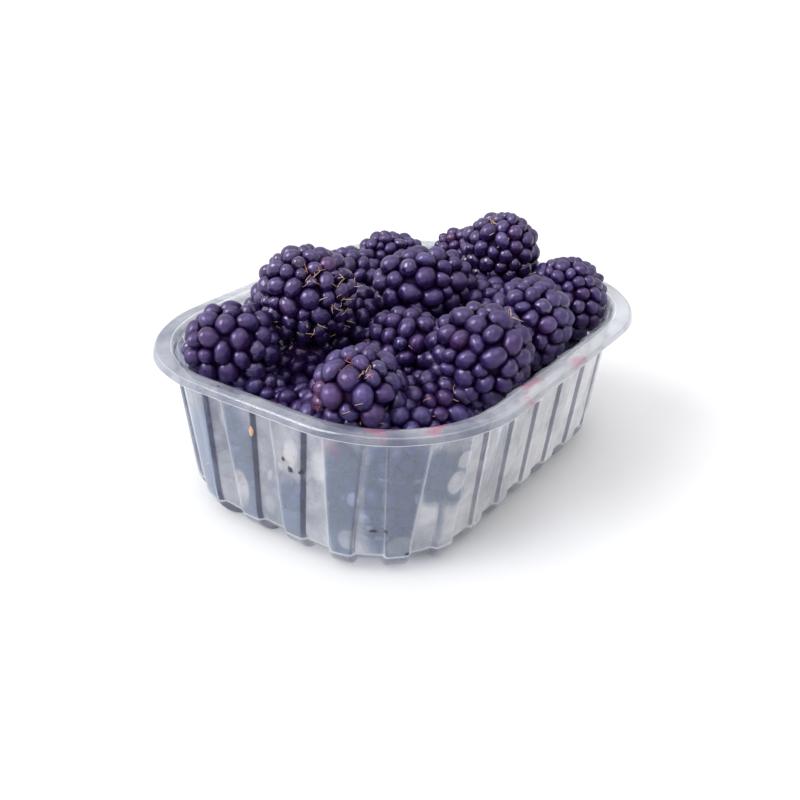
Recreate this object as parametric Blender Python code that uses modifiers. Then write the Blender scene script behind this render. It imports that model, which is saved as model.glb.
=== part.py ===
"""Clear fluted punnet heaped with bramble berries.

Units are metres and +Z is up. The origin is on the resting plane, under the middle of the rim.
The long side of the rim lies along X. Run with: blender --background --python part.py
"""

import math
import random

import bmesh
import bpy
from mathutils import Matrix, Vector

MM = 0.001

# Rim: a flat flange that turns down into a short skirt.
RIM_LENGTH = 118.0 * MM
RIM_WIDTH = 99.8 * MM
RIM_CORNER = 33.5 * MM
RIM_HEIGHT = 41.5 * MM
FLANGE_WIDTH = 4.1 * MM
SKIRT_DROP = 2.0 * MM
SKIRT_FLARE = 0.65 * MM
SHEET = 0.5 * MM

# Wall: insets are from the rim's outline to the outer face of the flutes, at the end and at the side.
WALL_TOP_DROP = 2.3 * MM
WALL_TOP_INSET = (3.7 * MM, 5.3 * MM)
WALL_TOP_CORNER = 28.6 * MM
WALL_FOOT_HEIGHT = 8.4 * MM
WALL_FOOT_INSET = (4.8 * MM, 10.2 * MM)
WALL_FOOT_CORNER = 25.8 * MM

# Flutes: raised ribs, counted from the middle of an end to a corner and on to the middle of a side.
FLUTES_END_TO_CORNER = 2.5
FLUTES_CORNER_TO_SIDE = 4
CURVED_PLACES = (0.4, 1.45)
FLUTE_DEPTH = 1.2 * MM
FLUTE_STEP = 0.4 * MM
FLUTE_TOP_END = 10.7 * MM
FLUTE_TOP_SIDE = 7.5 * MM
FLUTE_FOOT_END = 6.2 * MM
FLUTE_FOOT_SIDE = 5.0 * MM

# Base: a rounded edge, a small foot under each flute and a raised panel. Each row of the rounded edge
# is its angle, and how much of the flutes' depth and of the feet's height shows there.
BASE_ROUND = 6.8 * MM
ROUND_ROWS = ((45.0, 1.0, 0.5), (90.0, 0.6, 1.0))
FOOT_HEIGHT = 1.6 * MM
FOOT_LENGTH = 4.0 * MM
BASE_BAND = 3.0 * MM
PANEL_RISE = 0.8 * MM
PANEL_SLOPE = 1.5 * MM

# Berries.
BERRY_GAP = 0.5 * MM
DRUPELETS_IN_VIEW = 24
DRUPELETS_UNDER = 16
DRUPELET_SHOULDER = 1.3 * MM
DRUPELET_RELIEF = 1.5 * MM
DRUPELET_CROWN = 0.7 * MM
VALLEY_DEPTH = 0.5 * MM
TIP_TAPER = 0.16
GOLDEN_ANGLE = math.pi * (3.0 - math.sqrt(5.0))

# Berries that show on top: middle, length, width (mm), and the heading and rise of the tip (degrees).
TOP_BERRIES = (
    ((-41.6, 21.6, 42.2), 25.0, 23.5, 160.0, 15.0),
    ((-40.6, -16.8, 41.2), 25.0, 22.6, 215.0, 20.0),
    ((-12.6, -32.0, 43.8), 27.5, 26.0, 250.0, 30.0),
    ((12.0, -31.0, 44.0), 27.0, 23.0, 20.0, 10.0),
    ((36.7, -28.9, 41.7), 27.2, 23.2, 8.0, 5.0),
    ((39.0, -6.5, 50.0), 23.5, 23.5, 240.0, 50.0),
    ((45.0, 9.5, 43.5), 20.0, 18.0, 100.0, 20.0),
    ((9.5, -0.5, 47.5), 30.0, 21.5, 325.0, 5.0),
    ((-20.0, 14.2, 51.0), 25.5, 26.0, 300.0, 20.0),
    ((13.0, 28.0, 40.5), 25.0, 22.0, 30.0, 15.0),
    ((34.5, 28.6, 39.5), 24.0, 21.5, 320.0, 10.0),
    ((-9.0, -8.0, 38.0), 25.0, 22.0, 280.0, 25.0),
    ((-25.0, -26.5, 32.5), 24.0, 21.0, 330.0, 20.0),
    ((-9.5, 32.2, 39.5), 24.0, 21.0, 10.0, 10.0),
    ((-40.0, 2.5, 26.0), 24.0, 21.0, 190.0, 20.0),
)

# Berries that fill the middle under them, written the same way.
MIDDLE_BERRIES = (
    ((21.5, 10.5, 36.0), 24.0, 21.0, 60.0, 0.0),
    ((22.5, -11.5, 37.0), 25.0, 22.0, 200.0, 10.0),
    ((-23.5, -6.0, 29.5), 24.0, 21.0, 120.0, 0.0),
    ((-1.5, 16.0, 36.5), 25.0, 22.0, 10.0, 10.0),
    ((-25.0, 13.5, 29.0), 24.0, 21.0, 40.0, 0.0),
    ((3.0, -21.0, 32.0), 24.0, 21.0, 170.0, 0.0),
)

# Rows of berries against the wall: height, how many, and where the row starts, in berries.
WALL_ROWS = (
    (28.5 * MM, 11, 0.35),
    (14.2 * MM, 10, 0.05),
)
ROW_BERRY_LENGTH = (23.0 * MM, 25.5 * MM)
ROW_BERRY_WIDTH = (20.5 * MM, 22.5 * MM)
ROW_JITTER = 1.2 * MM
ROW_HEADING_SPREAD = 25.0
ROW_RISE_SPREAD = 20.0
DRAW_SEED = 7

# Core under the berries.
CORE_HALF = (43.0 * MM, 31.5 * MM)
CORE_LOW = 5.0 * MM
CORE_HIGH = 34.0 * MM
CORE_CORNER = 19.0 * MM
CORE_CORNER_STEPS = 3
CORE_EDGE = 5.0 * MM
CORE_EDGE_STEPS = 2
SHARP_EDGE = math.radians(60.0)


def clear_scene():
    for obj in list(bpy.data.objects):
        bpy.data.objects.remove(obj, do_unlink=True)


def new_collection(name):
    collection = bpy.data.collections.new(name)
    bpy.context.scene.collection.children.link(collection)
    return collection


def plastic_material():
    """Slightly milky clear sheet."""
    material = bpy.data.materials.new("clear_plastic")
    material.use_nodes = True
    shader = material.node_tree.nodes["Principled BSDF"]
    shader.inputs["Base Color"].default_value = (0.86, 0.88, 0.91, 1.0)
    shader.inputs["Roughness"].default_value = 0.18
    shader.inputs["Metallic"].default_value = 0.0
    shader.inputs["Transmission Weight"].default_value = 0.75
    shader.inputs["IOR"].default_value = 1.49
    return material


def fruit_material():
    """Blue-violet, nearly black berry skin."""
    material = bpy.data.materials.new("berry_skin")
    material.use_nodes = True
    shader = material.node_tree.nodes["Principled BSDF"]
    shader.inputs["Base Color"].default_value = (0.035, 0.016, 0.06, 1.0)
    shader.inputs["Roughness"].default_value = 0.35
    shader.inputs["Metallic"].default_value = 0.0
    return material


class Outline:
    """A rounded rectangle walked by length, from the middle of the -X end towards -Y."""

    def __init__(self, half_length, half_width, corner):
        self.half_length = half_length
        self.half_width = half_width
        self.corner = corner
        self.end_flat = half_width - corner
        self.side_flat = half_length - corner
        self.arc = corner * math.pi / 2

    def end_to_corner(self):
        """Length from the middle of an end to the middle of a corner."""
        return self.end_flat + self.arc / 2

    def quarter(self):
        """Length from the middle of an end to the middle of a side."""
        return self.end_flat + self.arc + self.side_flat

    def in_quarter(self, length):
        """Point and outward direction, for a length within the first quarter."""
        if length <= self.end_flat:
            return Vector((-self.half_length, -length)), Vector((-1.0, 0.0))
        length -= self.end_flat
        if length <= self.arc:
            angle = length / self.corner
            away = Vector((-math.cos(angle), -math.sin(angle)))
            middle = Vector((-self.side_flat, -self.end_flat))
            return middle + away * self.corner, away
        length -= self.arc
        return Vector((-self.side_flat + length, -self.half_width)), Vector((0.0, -1.0))

    def at(self, length):
        """Point and outward direction, anywhere on the outline."""
        turn, along = divmod(length, self.quarter())
        turn = int(turn) % 4
        if turn % 2:
            along = self.quarter() - along
        point, away = self.in_quarter(along)
        flip = Vector((-1.0 if turn in (1, 2) else 1.0, -1.0 if turn in (2, 3) else 1.0))
        return point * flip, away * flip


def inset_outline(inset, corner):
    """The rim's outline moved in by a separate amount at the ends and at the sides."""
    return Outline(RIM_LENGTH / 2 - inset[0], RIM_WIDTH / 2 - inset[1], corner)


def even_inset(amount):
    return inset_outline((amount, amount), RIM_CORNER - amount)


def flute_places():
    """Each flute as (quarters passed, place in the quarter): 0 is an end, 1 a corner, 2 a side."""
    places = []
    for quarter in range(4):
        ends = [(0.5 + i) / FLUTES_END_TO_CORNER for i in range(int(FLUTES_END_TO_CORNER))]
        sides = [1.0 + i / FLUTES_CORNER_TO_SIDE for i in range(FLUTES_CORNER_TO_SIDE)]
        middle = [2.0] if quarter % 2 == 0 else []
        row = ends + sides + middle
        if quarter % 2:
            row = row[::-1]
        places += [(quarter, place) for place in row]
    return places


FLUTES = flute_places()


def flute_width(place, at_end, at_side):
    """Wide at the ends and corners, narrowing over the first half of the way to a side's middle."""
    share = min(max((place - 1.0) * 2.0, 0.0), 1.0)
    return at_end + (at_side - at_end) * share


def ring(outline, height, flute=None, depth=0.0, low=0.0):
    """One row of points round the punnet: four to a flute, and one more where the wall curves.

    flute gives the flute's width at the ends and at the sides, depth how far the wall between
    flutes is set in, and low how far the flutes' own points are dropped.
    """
    widths = flute or (FLUTE_TOP_END, FLUTE_TOP_SIDE)
    points = []
    for quarter, place in FLUTES:
        if place <= 1.0:
            along = place * outline.end_to_corner()
        else:
            rest = outline.quarter() - outline.end_to_corner()
            along = outline.end_to_corner() + (place - 1.0) * rest
        if quarter % 2:
            along = outline.quarter() - along
        middle = quarter * outline.quarter() + along
        half = flute_width(place, *widths) / 2
        crown = [(0.0, True)] if CURVED_PLACES[0] < place < CURVED_PLACES[1] else []
        near = [(-half - FLUTE_STEP, False), (-half + FLUTE_STEP, True)]
        far = [(half - FLUTE_STEP, True), (half + FLUTE_STEP, False)]
        for offset, raised in near + crown + far:
            point, away = outline.at(middle + offset)
            if not raised:
                point = point - away * depth
            points.append(Vector((point.x, point.y, height - (low if raised else 0.0))))
    return points


def loft(bm, rows):
    """Joins rows of equally many points by quads, and returns the last row's vertices."""
    previous = [bm.verts.new(point) for point in rows[0]]
    count = len(previous)
    for row in rows[1:]:
        current = [bm.verts.new(point) for point in row]
        for i in range(count):
            after = (i + 1) % count
            bm.faces.new((previous[i], previous[after], current[after], current[i]))
        previous = current
    return previous


def punnet_rows():
    """Rows of the sheet's under and outer face, from the skirt's edge to the base panel."""
    flutes_top = (FLUTE_TOP_END, FLUTE_TOP_SIDE)
    flutes_foot = (FLUTE_FOOT_END, FLUTE_FOOT_SIDE)
    wall_top = inset_outline(WALL_TOP_INSET, WALL_TOP_CORNER)
    wall_foot = inset_outline(WALL_FOOT_INSET, WALL_FOOT_CORNER)
    rows = [
        ring(even_inset(SHEET - SKIRT_FLARE), RIM_HEIGHT - SKIRT_DROP),
        ring(even_inset(SHEET), RIM_HEIGHT - SHEET),
        ring(even_inset(FLANGE_WIDTH - SHEET / 2), RIM_HEIGHT - SHEET),
        ring(wall_top, RIM_HEIGHT - WALL_TOP_DROP, flutes_top, FLUTE_DEPTH),
        ring(wall_foot, WALL_FOOT_HEIGHT, flutes_foot, FLUTE_DEPTH),
    ]
    for angle, depth, low in ROUND_ROWS:
        inward = BASE_ROUND * (1.0 - math.cos(math.radians(angle)))
        drop = BASE_ROUND * math.sin(math.radians(angle))
        inset = (WALL_FOOT_INSET[0] + inward, WALL_FOOT_INSET[1] + inward)
        edge = inset_outline(inset, WALL_FOOT_CORNER - inward)
        height = WALL_FOOT_HEIGHT - drop
        rows.append(ring(edge, height, flutes_foot, FLUTE_DEPTH * depth, FOOT_HEIGHT * low))
    inward = BASE_ROUND
    for step, low in ((FOOT_LENGTH, 1.0), (BASE_BAND, 0.0), (PANEL_SLOPE, 0.0)):
        inward += step
        inset = (WALL_FOOT_INSET[0] + inward, WALL_FOOT_INSET[1] + inward)
        edge = inset_outline(inset, WALL_FOOT_CORNER - inward)
        rise = PANEL_RISE if step == PANEL_SLOPE else 0.0
        rows.append(ring(edge, FOOT_HEIGHT + rise, flutes_foot, 0.0, FOOT_HEIGHT * low))
    return rows


def build_punnet(collection):
    """The tray: one sheet of even thickness, from the skirt round to the base."""
    bm = bmesh.new()
    last = loft(bm, punnet_rows())
    bm.faces.new(last)
    bmesh.ops.recalc_face_normals(bm, faces=bm.faces)
    panel = max(bm.faces, key=lambda face: len(face.verts))
    if panel.normal.z > 0.0:
        bmesh.ops.reverse_faces(bm, faces=bm.faces)
    mesh = bpy.data.meshes.new("punnet")
    bm.to_mesh(mesh)
    bm.free()
    punnet = bpy.data.objects.new("punnet", mesh)
    collection.objects.link(punnet)
    sheet = punnet.modifiers.new("sheet", "SOLIDIFY")
    sheet.thickness = SHEET
    sheet.offset = -1.0
    sheet.use_even_offset = True
    sheet.use_quality_normals = True
    punnet.data.materials.append(plastic_material())
    return punnet


def berry_points(length, width, count, spin):
    """Middles of the drupelets: a golden-angle spiral on an egg whose tip is at +Z."""
    points = []
    for i in range(count):
        up = 1.0 - (2.0 * i + 1.0) / count
        round_about = math.sqrt(1.0 - up * up)
        angle = i * GOLDEN_ANGLE + spin
        slim = 1.0 - TIP_TAPER * up
        points.append(
            Vector(
                (
                    math.cos(angle) * round_about * slim * width / 2,
                    math.sin(angle) * round_about * slim * width / 2,
                    up * length / 2,
                )
            )
        )
    return points


def drupelet_body(bm, length, width, domed, spin):
    """Berry along Z. Each drupelet is a low dome with few sides, or a plain peak if not domed."""
    count = DRUPELETS_IN_VIEW if domed else DRUPELETS_UNDER
    for point in berry_points(length, width, count, spin):
        bm.verts.new(point)
    bmesh.ops.convex_hull(bm, input=bm.verts)
    bmesh.ops.recalc_face_normals(bm, faces=bm.faces)
    middles = list(bm.verts)
    between = list(bm.edges)
    bmesh.ops.poke(bm, faces=bm.faces, offset=0.0 if domed else -VALLEY_DEPTH)
    bmesh.ops.rotate_edges(bm, edges=between, use_ccw=False)
    if domed:
        bmesh.ops.dissolve_verts(bm, verts=middles)
        crowns = list(bm.faces)
        bmesh.ops.inset_individual(
            bm, faces=crowns, thickness=DRUPELET_SHOULDER, depth=DRUPELET_RELIEF
        )
        bmesh.ops.poke(bm, faces=crowns, offset=DRUPELET_CROWN)
    bmesh.ops.recalc_face_normals(bm, faces=bm.faces)


def build_berry(collection, name, domed, middle, length, width, heading, rise, spin):
    """One berry in its place, its tip turned to the heading and rise."""
    bm = bmesh.new()
    drupelet_body(bm, length, width, domed, spin)
    flat = math.radians(heading)
    climb = math.radians(rise)
    tip = Vector((math.cos(flat) * math.cos(climb), math.sin(flat) * math.cos(climb), math.sin(climb)))
    turn = tip.to_track_quat("Z", "Y").to_matrix().to_4x4()
    bmesh.ops.transform(bm, matrix=Matrix.Translation(middle) @ turn, verts=bm.verts)
    mesh = bpy.data.meshes.new(name)
    bm.to_mesh(mesh)
    bm.free()
    berry = bpy.data.objects.new(name, mesh)
    collection.objects.link(berry)
    return berry


def wall_face(height):
    """Outline of the wall's inner face at this height, between the flutes."""
    top = RIM_HEIGHT - WALL_TOP_DROP
    share = min(max((top - height) / (top - WALL_FOOT_HEIGHT), 0.0), 1.0)
    inset = [high + (low - high) * share for high, low in zip(WALL_TOP_INSET, WALL_FOOT_INSET)]
    corner = WALL_TOP_CORNER + (WALL_FOOT_CORNER - WALL_TOP_CORNER) * share
    extra = FLUTE_DEPTH + SHEET
    return inset_outline((inset[0] + extra, inset[1] + extra), corner - extra)


def row_berries(rng):
    """Berries side by side against the wall, in level rows."""
    berries = []
    for height, count, start in WALL_ROWS:
        face = wall_face(height - ROW_BERRY_WIDTH[1] / 2)
        around = 4 * face.quarter()
        for i in range(count):
            length = rng.uniform(*ROW_BERRY_LENGTH)
            width = rng.uniform(*ROW_BERRY_WIDTH)
            point, away = face.at((i + start) / count * around)
            inward = width / 2 + BERRY_GAP + rng.uniform(0.0, ROW_JITTER)
            middle = Vector((point.x, point.y, height + rng.uniform(0.0, ROW_JITTER)))
            middle -= Vector((away.x, away.y, 0.0)) * inward
            along_wall = math.degrees(math.atan2(away.y, away.x)) + 90.0
            heading = along_wall + rng.uniform(-ROW_HEADING_SPREAD, ROW_HEADING_SPREAD)
            rise = rng.uniform(-ROW_RISE_SPREAD, ROW_RISE_SPREAD)
            berries.append((middle, length, width, heading, rise))
    return berries


def build_core(collection):
    """Rounded block inside the rows of berries."""
    bm = bmesh.new()
    bmesh.ops.create_cube(bm, size=1.0)
    size = (2 * CORE_HALF[0], 2 * CORE_HALF[1], CORE_HIGH - CORE_LOW)
    bmesh.ops.scale(bm, vec=size, verts=bm.verts)
    bmesh.ops.translate(bm, vec=(0.0, 0.0, (CORE_HIGH + CORE_LOW) / 2), verts=bm.verts)
    upright = [e for e in bm.edges if abs((e.verts[0].co - e.verts[1].co).z) > MM]
    bmesh.ops.bevel(
        bm, geom=upright, offset=CORE_CORNER, segments=CORE_CORNER_STEPS, affect="EDGES", profile=0.5
    )
    level = [e for e in bm.edges if len(e.link_faces) == 2 and e.calc_face_angle() > SHARP_EDGE]
    bmesh.ops.bevel(
        bm, geom=level, offset=CORE_EDGE, segments=CORE_EDGE_STEPS, affect="EDGES", profile=0.5
    )
    mesh = bpy.data.meshes.new("berries")
    bm.to_mesh(mesh)
    bm.free()
    core = bpy.data.objects.new("berries", mesh)
    collection.objects.link(core)
    return core


def keep_largest(mesh):
    """Drops scraps and the skins of sealed hollows, which leaves the outer body."""
    bm = bmesh.new()
    bm.from_mesh(mesh)
    bmesh.ops.triangulate(bm, faces=bm.faces)
    left = set(bm.verts)
    bodies = []
    while left:
        stack = [left.pop()]
        body = set(stack)
        while stack:
            for edge in stack.pop().link_edges:
                for vert in edge.verts:
                    if vert not in body:
                        body.add(vert)
                        left.discard(vert)
                        stack.append(vert)
        bodies.append(body)
    bodies.sort(key=len)
    for body in bodies[:-1]:
        bmesh.ops.delete(bm, geom=list(body), context="VERTS")
    bm.to_mesh(mesh)
    bm.free()


def build_berries(collection):
    """The heap: every berry fused to the core in one solid."""
    rng = random.Random(DRAW_SEED)
    pieces = new_collection("berry_pieces")
    core = build_core(collection)
    placed = [
        (Vector(middle) * MM, length * MM, width * MM, heading, rise)
        for middle, length, width, heading, rise in TOP_BERRIES + MIDDLE_BERRIES
    ]
    placed += row_berries(rng)
    for i, place in enumerate(placed):
        domed = i < len(TOP_BERRIES)
        build_berry(pieces, f"berry_{i:02d}", domed, *place, rng.uniform(0.0, math.tau))
    fuse = core.modifiers.new("fuse", "BOOLEAN")
    fuse.operation = "UNION"
    fuse.operand_type = "COLLECTION"
    fuse.collection = pieces
    fuse.solver = "MANIFOLD"
    bpy.context.view_layer.update()
    fused = bpy.data.meshes.new_from_object(core.evaluated_get(bpy.context.evaluated_depsgraph_get()))
    core.modifiers.clear()
    core.data = fused
    for piece in list(pieces.objects):
        bpy.data.objects.remove(piece, do_unlink=True)
    bpy.data.collections.remove(pieces)
    keep_largest(core.data)
    core.data.materials.clear()
    core.data.materials.append(fruit_material())
    return core


def main():
    clear_scene()
    collection = new_collection("bramble_punnet")
    build_punnet(collection)
    build_berries(collection)


main()
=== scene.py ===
"""Looks of a clear fluted punnet heaped with bramble berries.

Lengths are in metres and +Z is up. The punnet's rim lies along X, and its feet stand at Z = 0.
"""

import logging
import math
import random
from dataclasses import dataclass
from enum import Enum

import bmesh
import bpy
import numpy as np
from mathutils import Matrix, Vector


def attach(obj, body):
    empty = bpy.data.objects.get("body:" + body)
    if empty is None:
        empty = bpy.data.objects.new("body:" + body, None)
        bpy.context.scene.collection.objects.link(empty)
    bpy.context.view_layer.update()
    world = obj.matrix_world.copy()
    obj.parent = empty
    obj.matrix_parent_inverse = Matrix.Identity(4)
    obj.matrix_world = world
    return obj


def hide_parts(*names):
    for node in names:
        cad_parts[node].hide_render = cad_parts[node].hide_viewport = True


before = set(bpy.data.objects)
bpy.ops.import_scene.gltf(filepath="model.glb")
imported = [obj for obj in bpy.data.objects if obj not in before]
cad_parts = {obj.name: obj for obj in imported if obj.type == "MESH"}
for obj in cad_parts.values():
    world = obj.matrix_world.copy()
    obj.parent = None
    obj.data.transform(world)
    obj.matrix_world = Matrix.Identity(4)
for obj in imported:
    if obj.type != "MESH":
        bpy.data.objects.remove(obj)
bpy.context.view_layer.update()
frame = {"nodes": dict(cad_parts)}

MM = 0.001
BODY = "root"
LOG = logging.getLogger("bramble_punnet")

BALL_CUTS = 2
NOISE_SPAN = (0.3, 0.7)
WHITE = (1.0, 1.0, 1.0, 1.0)

# A ramp is where it starts and ends, and its result at each end. A pair is often the ends of a span.
Colour = tuple[float, float, float, float]
Ramp = tuple[float, float, float, float]
Triple = tuple[float, float, float]
Pair = tuple[float, float]
Socket = bpy.types.NodeSocket
Loop = list[bmesh.types.BMVert]
RowPoint = tuple[Vector, float, float, float, float]


def srgb(red: float, green: float, blue: float) -> Colour:
    """Turns a screen colour into the linear colour that a shader takes.

    Args:
        red: Red from 0 to 255.
        green: Green from 0 to 255.
        blue: Blue from 0 to 255.

    Returns:
        The linear colour with an alpha of 1.
    """
    shares = [value / 255.0 for value in (red, green, blue)]
    linear = [s / 12.92 if s <= 0.04045 else ((s + 0.055) / 1.055) ** 2.4 for s in shares]
    return (linear[0], linear[1], linear[2], 1.0)


def direction(heading: float, rise: float) -> Vector:
    """Unit vector from two angles.

    Args:
        heading: Angle from +X towards +Y, in degrees.
        rise: Angle above the horizon, in degrees.

    Returns:
        The unit vector.
    """
    flat = math.radians(heading)
    climb = math.radians(rise)
    level = math.cos(climb)
    return Vector((math.cos(flat) * level, math.sin(flat) * level, math.sin(climb)))


def finish_object(name: str, bm: bmesh.types.BMesh, material: bpy.types.Material) -> bpy.types.Object:
    """Makes a smooth shaded object at the origin from a finished bmesh, and frees the bmesh.

    Args:
        name: The piece's name.
        bm: The mesh, already in its place.
        material: The finish of the whole piece.

    Returns:
        The new object, linked to the scene.
    """
    mesh = bpy.data.meshes.new(name)
    bm.to_mesh(mesh)
    bm.free()
    mesh.shade_smooth()
    mesh.materials.append(material)
    piece = bpy.data.objects.new(name, mesh)
    bpy.context.scene.collection.objects.link(piece)
    return piece


def add_subdivision(piece: bpy.types.Object, levels: int) -> None:
    """Rounds a piece with the same number of levels in the view and in the render.

    Args:
        piece: The piece.
        levels: How many times its faces are split.
    """
    rounding = piece.modifiers.new("rounding", "SUBSURF")
    rounding.levels = levels
    rounding.render_levels = levels


class Field(str, Enum):
    """Numbers that a mesh carries on its points for its finish."""

    CROWN = "crown"
    TONE = "tone"
    BLUSH = "blush"
    WET = "wet"
    TINT = "tint"
    WALL = "wall"
    RIB = "rib"
    STEP = "step"
    HIGHLIGHT_LINE = "line"


class Hair(float, Enum):
    """Colours of a dried style, as the tint that it carries."""

    STRAW = 0.0
    ORANGE = 0.5
    RED = 1.0


class NodeSheet:
    """Builds one material's nodes."""

    def __init__(self, name: str) -> None:
        """Starts an empty material with an output.

        Args:
            name: The material's name.
        """
        self.material = bpy.data.materials.new(name)
        self.material.use_nodes = True
        self.nodes = self.material.node_tree.nodes
        self.links = self.material.node_tree.links
        self.nodes.clear()
        self.output = self.nodes.new("ShaderNodeOutputMaterial")
        self.place = self.nodes.new("ShaderNodeTexCoord").outputs["Object"]

    def add(
        self, kind: str, inputs: dict[str | int, object] | None = None, **settings: object
    ) -> bpy.types.Node:
        """Adds a node.

        Args:
            kind: The node's type.
            inputs: A value or a socket to link for each named or numbered input.
            settings: The node's own settings.

        Returns:
            The new node.
        """
        node = self.nodes.new(kind)
        for name, value in settings.items():
            setattr(node, name, value)
        for socket, value in (inputs or {}).items():
            if isinstance(value, Socket):
                self.links.new(value, node.inputs[socket])
            else:
                node.inputs[socket].default_value = value
        return node

    def field(self, name: Field) -> Socket:
        """Number carried by the mesh's points."""
        return self.add("ShaderNodeAttribute", attribute_name=name.value).outputs["Fac"]

    def noise(self, scale: float, detail: float = 2.0, roughness: float = 0.5) -> Socket:
        """Noise at the piece's own place, in cycles for each metre."""
        settings = {"Vector": self.place, "Scale": scale, "Detail": detail, "Roughness": roughness}
        return self.add("ShaderNodeTexNoise", settings).outputs["Fac"]

    def ramp(
        self, value: Socket, low: float, high: float, start: float = 0.0, end: float = 1.0
    ) -> Socket:
        """Straight ramp of a number, held at both ends.

        Args:
            value: The number to remap.
            low: Where the ramp starts.
            high: Where the ramp ends.
            start: The result at and below low.
            end: The result at and above high.

        Returns:
            The remapped number.
        """
        inputs = {0: value, 1: low, 2: high, 3: start, 4: end}
        return self.add("ShaderNodeMapRange", inputs, clamp=True).outputs[0]

    def math(self, kind: str, first: object, second: object) -> Socket:
        """Sum, product or other operation on two numbers or sockets."""
        return self.add("ShaderNodeMath", {0: first, 1: second}, operation=kind).outputs[0]

    def times(self, first: object, second: object) -> Socket:
        """Product of two numbers or sockets."""
        return self.math("MULTIPLY", first, second)

    def facing(self) -> Socket:
        """Number that goes from 0 where the surface faces the eye to 1 at its edge."""
        return self.add("ShaderNodeLayerWeight", {"Blend": 0.5}).outputs["Facing"]

    def between(self, share: object, first: object, second: object) -> Socket:
        """Number between two numbers or sockets."""
        return self.add("ShaderNodeMix", {0: share, 2: first, 3: second}, data_type="FLOAT").outputs[0]

    def blend(self, share: object, first: object, second: object) -> Socket:
        """Colour between two colours.

        Args:
            share: How much of the second colour shows.
            first: Colour or socket.
            second: Colour or socket.

        Returns:
            The blended colour.
        """
        inputs = {0: share, 6: first, 7: second}
        return self.add("ShaderNodeMix", inputs, data_type="RGBA", clamp_factor=True).outputs[2]

    def bump(self, height: Socket, depth: float, strength: float = 1.0) -> Socket:
        """Small relief whose full height is depth, in metres."""
        inputs = {"Height": height, "Distance": depth, "Strength": strength}
        return self.add("ShaderNodeBump", inputs).outputs["Normal"]

    def close(self, shader: Socket) -> bpy.types.Material:
        """Links the last shader to the output and gives the material."""
        self.links.new(shader, self.output.inputs["Surface"])
        return self.material


@dataclass(frozen=True)
class BerrySkin:
    """Satin, nearly black violet skin with a thin bloom on its crowns, and painted shade that darkens each
    drupelet towards its base.
    """

    deep: Colour = srgb(24, 9, 50)
    body: Colour = srgb(42, 25, 74)
    slate: Colour = srgb(64, 60, 106)
    blush: Colour = srgb(92, 44, 78)
    pressed: Colour = srgb(172, 164, 168)
    specular_tint: Colour = srgb(206, 182, 250)
    bloom_scale: float = 900.0
    mottle_scale: float = 260.0
    dent_scale: float = 420.0
    wrinkle_scale: float = 1300.0
    wrinkle_share: float = 0.4
    wrinkle_depth: float = 0.24 * MM
    ior: float = 1.45
    gloss: float = 1.1
    coat_roughness: float = 0.1
    shade: Ramp = (-1.0, 0.0, 0.25, 1.0)
    crown: Ramp = (0.25, 0.95, 0.0, 1.0)
    crown_mottle: Ramp = (0.3, 0.7, 0.55, 1.0)
    slate_tone: Ramp = (0.35, 1.0, 0.0, 1.0)
    slate_bloom: Ramp = (0.35, 0.65, 0.35, 1.0)
    blush_mottle: Ramp = (0.35, 0.6, 0.5, 1.0)
    pressed_tone: Ramp = (1.3, 1.9, 0.0, 1.0)
    pressed_crown: Ramp = (0.66, 0.8, 0.0, 1.0)
    wet_roughness: Ramp = (0.0, 1.0, 0.38, 0.1)
    bloom_roughness: Ramp = (0.3, 0.7, -0.05, 0.07)
    wet_coat: Ramp = (0.0, 1.0, 0.22, 0.9)
    gloss_bloom: Ramp = (0.35, 0.65, 0.75, 1.1)
    edge_gloss: Ramp = (0.4, 0.85, 1.0, 0.12)

    def material(self) -> bpy.types.Material:
        """Skin material.

        Returns:
            The material.
        """
        sheet = NodeSheet("berry_skin")
        tone = sheet.field(Field.TONE)
        wet = sheet.field(Field.WET)
        mottle = sheet.noise(self.mottle_scale, detail=3.0)
        bloom = sheet.noise(self.bloom_scale, detail=4.0, roughness=0.65)
        # Tones below zero darken the colour and the gloss: painted shade on berries deep in the heap and on
        # undersides, and the dark of wet drupelets.
        shade = sheet.ramp(tone, *self.shade)
        # crown darkens each drupelet towards its base: painted shade in the crevices between drupelets. The
        # slate bloom shows only where this mask is lit.
        crown = sheet.times(sheet.ramp(sheet.field(Field.CROWN), *self.crown), shade)
        painted_light = sheet.times(crown, sheet.ramp(mottle, *self.crown_mottle))
        colour = sheet.blend(painted_light, self.deep, self.body)
        slate = sheet.times(sheet.ramp(tone, *self.slate_tone), sheet.ramp(bloom, *self.slate_bloom))
        colour = sheet.blend(sheet.times(slate, crown), colour, self.slate)
        blush = sheet.times(sheet.field(Field.BLUSH), sheet.ramp(mottle, *self.blush_mottle))
        colour = sheet.blend(blush, colour, self.blush)
        flat = sheet.ramp(sheet.field(Field.CROWN), *self.pressed_crown)
        pressed = sheet.times(sheet.ramp(tone, *self.pressed_tone), flat)
        colour = sheet.blend(pressed, colour, self.pressed)
        dull = sheet.ramp(bloom, *self.bloom_roughness)
        # edge dims the reflections towards the silhouette: painted shade at the berries' edges.
        edge = sheet.ramp(sheet.facing(), *self.edge_gloss)
        gloss = sheet.times(sheet.times(shade, sheet.ramp(bloom, *self.gloss_bloom)), edge)
        wrinkles = sheet.times(sheet.noise(self.wrinkle_scale, detail=3.0), self.wrinkle_share)
        height = sheet.math("ADD", wrinkles, sheet.noise(self.dent_scale, detail=1.0))
        skin = sheet.add(
            "ShaderNodeBsdfPrincipled",
            {
                "Base Color": colour,
                "Roughness": sheet.math("ADD", sheet.ramp(wet, *self.wet_roughness), dull),
                "Normal": sheet.bump(height, self.wrinkle_depth),
                "IOR": self.ior,
                "Specular IOR Level": sheet.times(gloss, self.gloss),
                "Specular Tint": self.specular_tint,
                "Coat Weight": sheet.times(sheet.ramp(wet, *self.wet_coat), edge),
                "Coat Roughness": self.coat_roughness,
            },
        )
        return sheet.close(skin.outputs[0])


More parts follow.
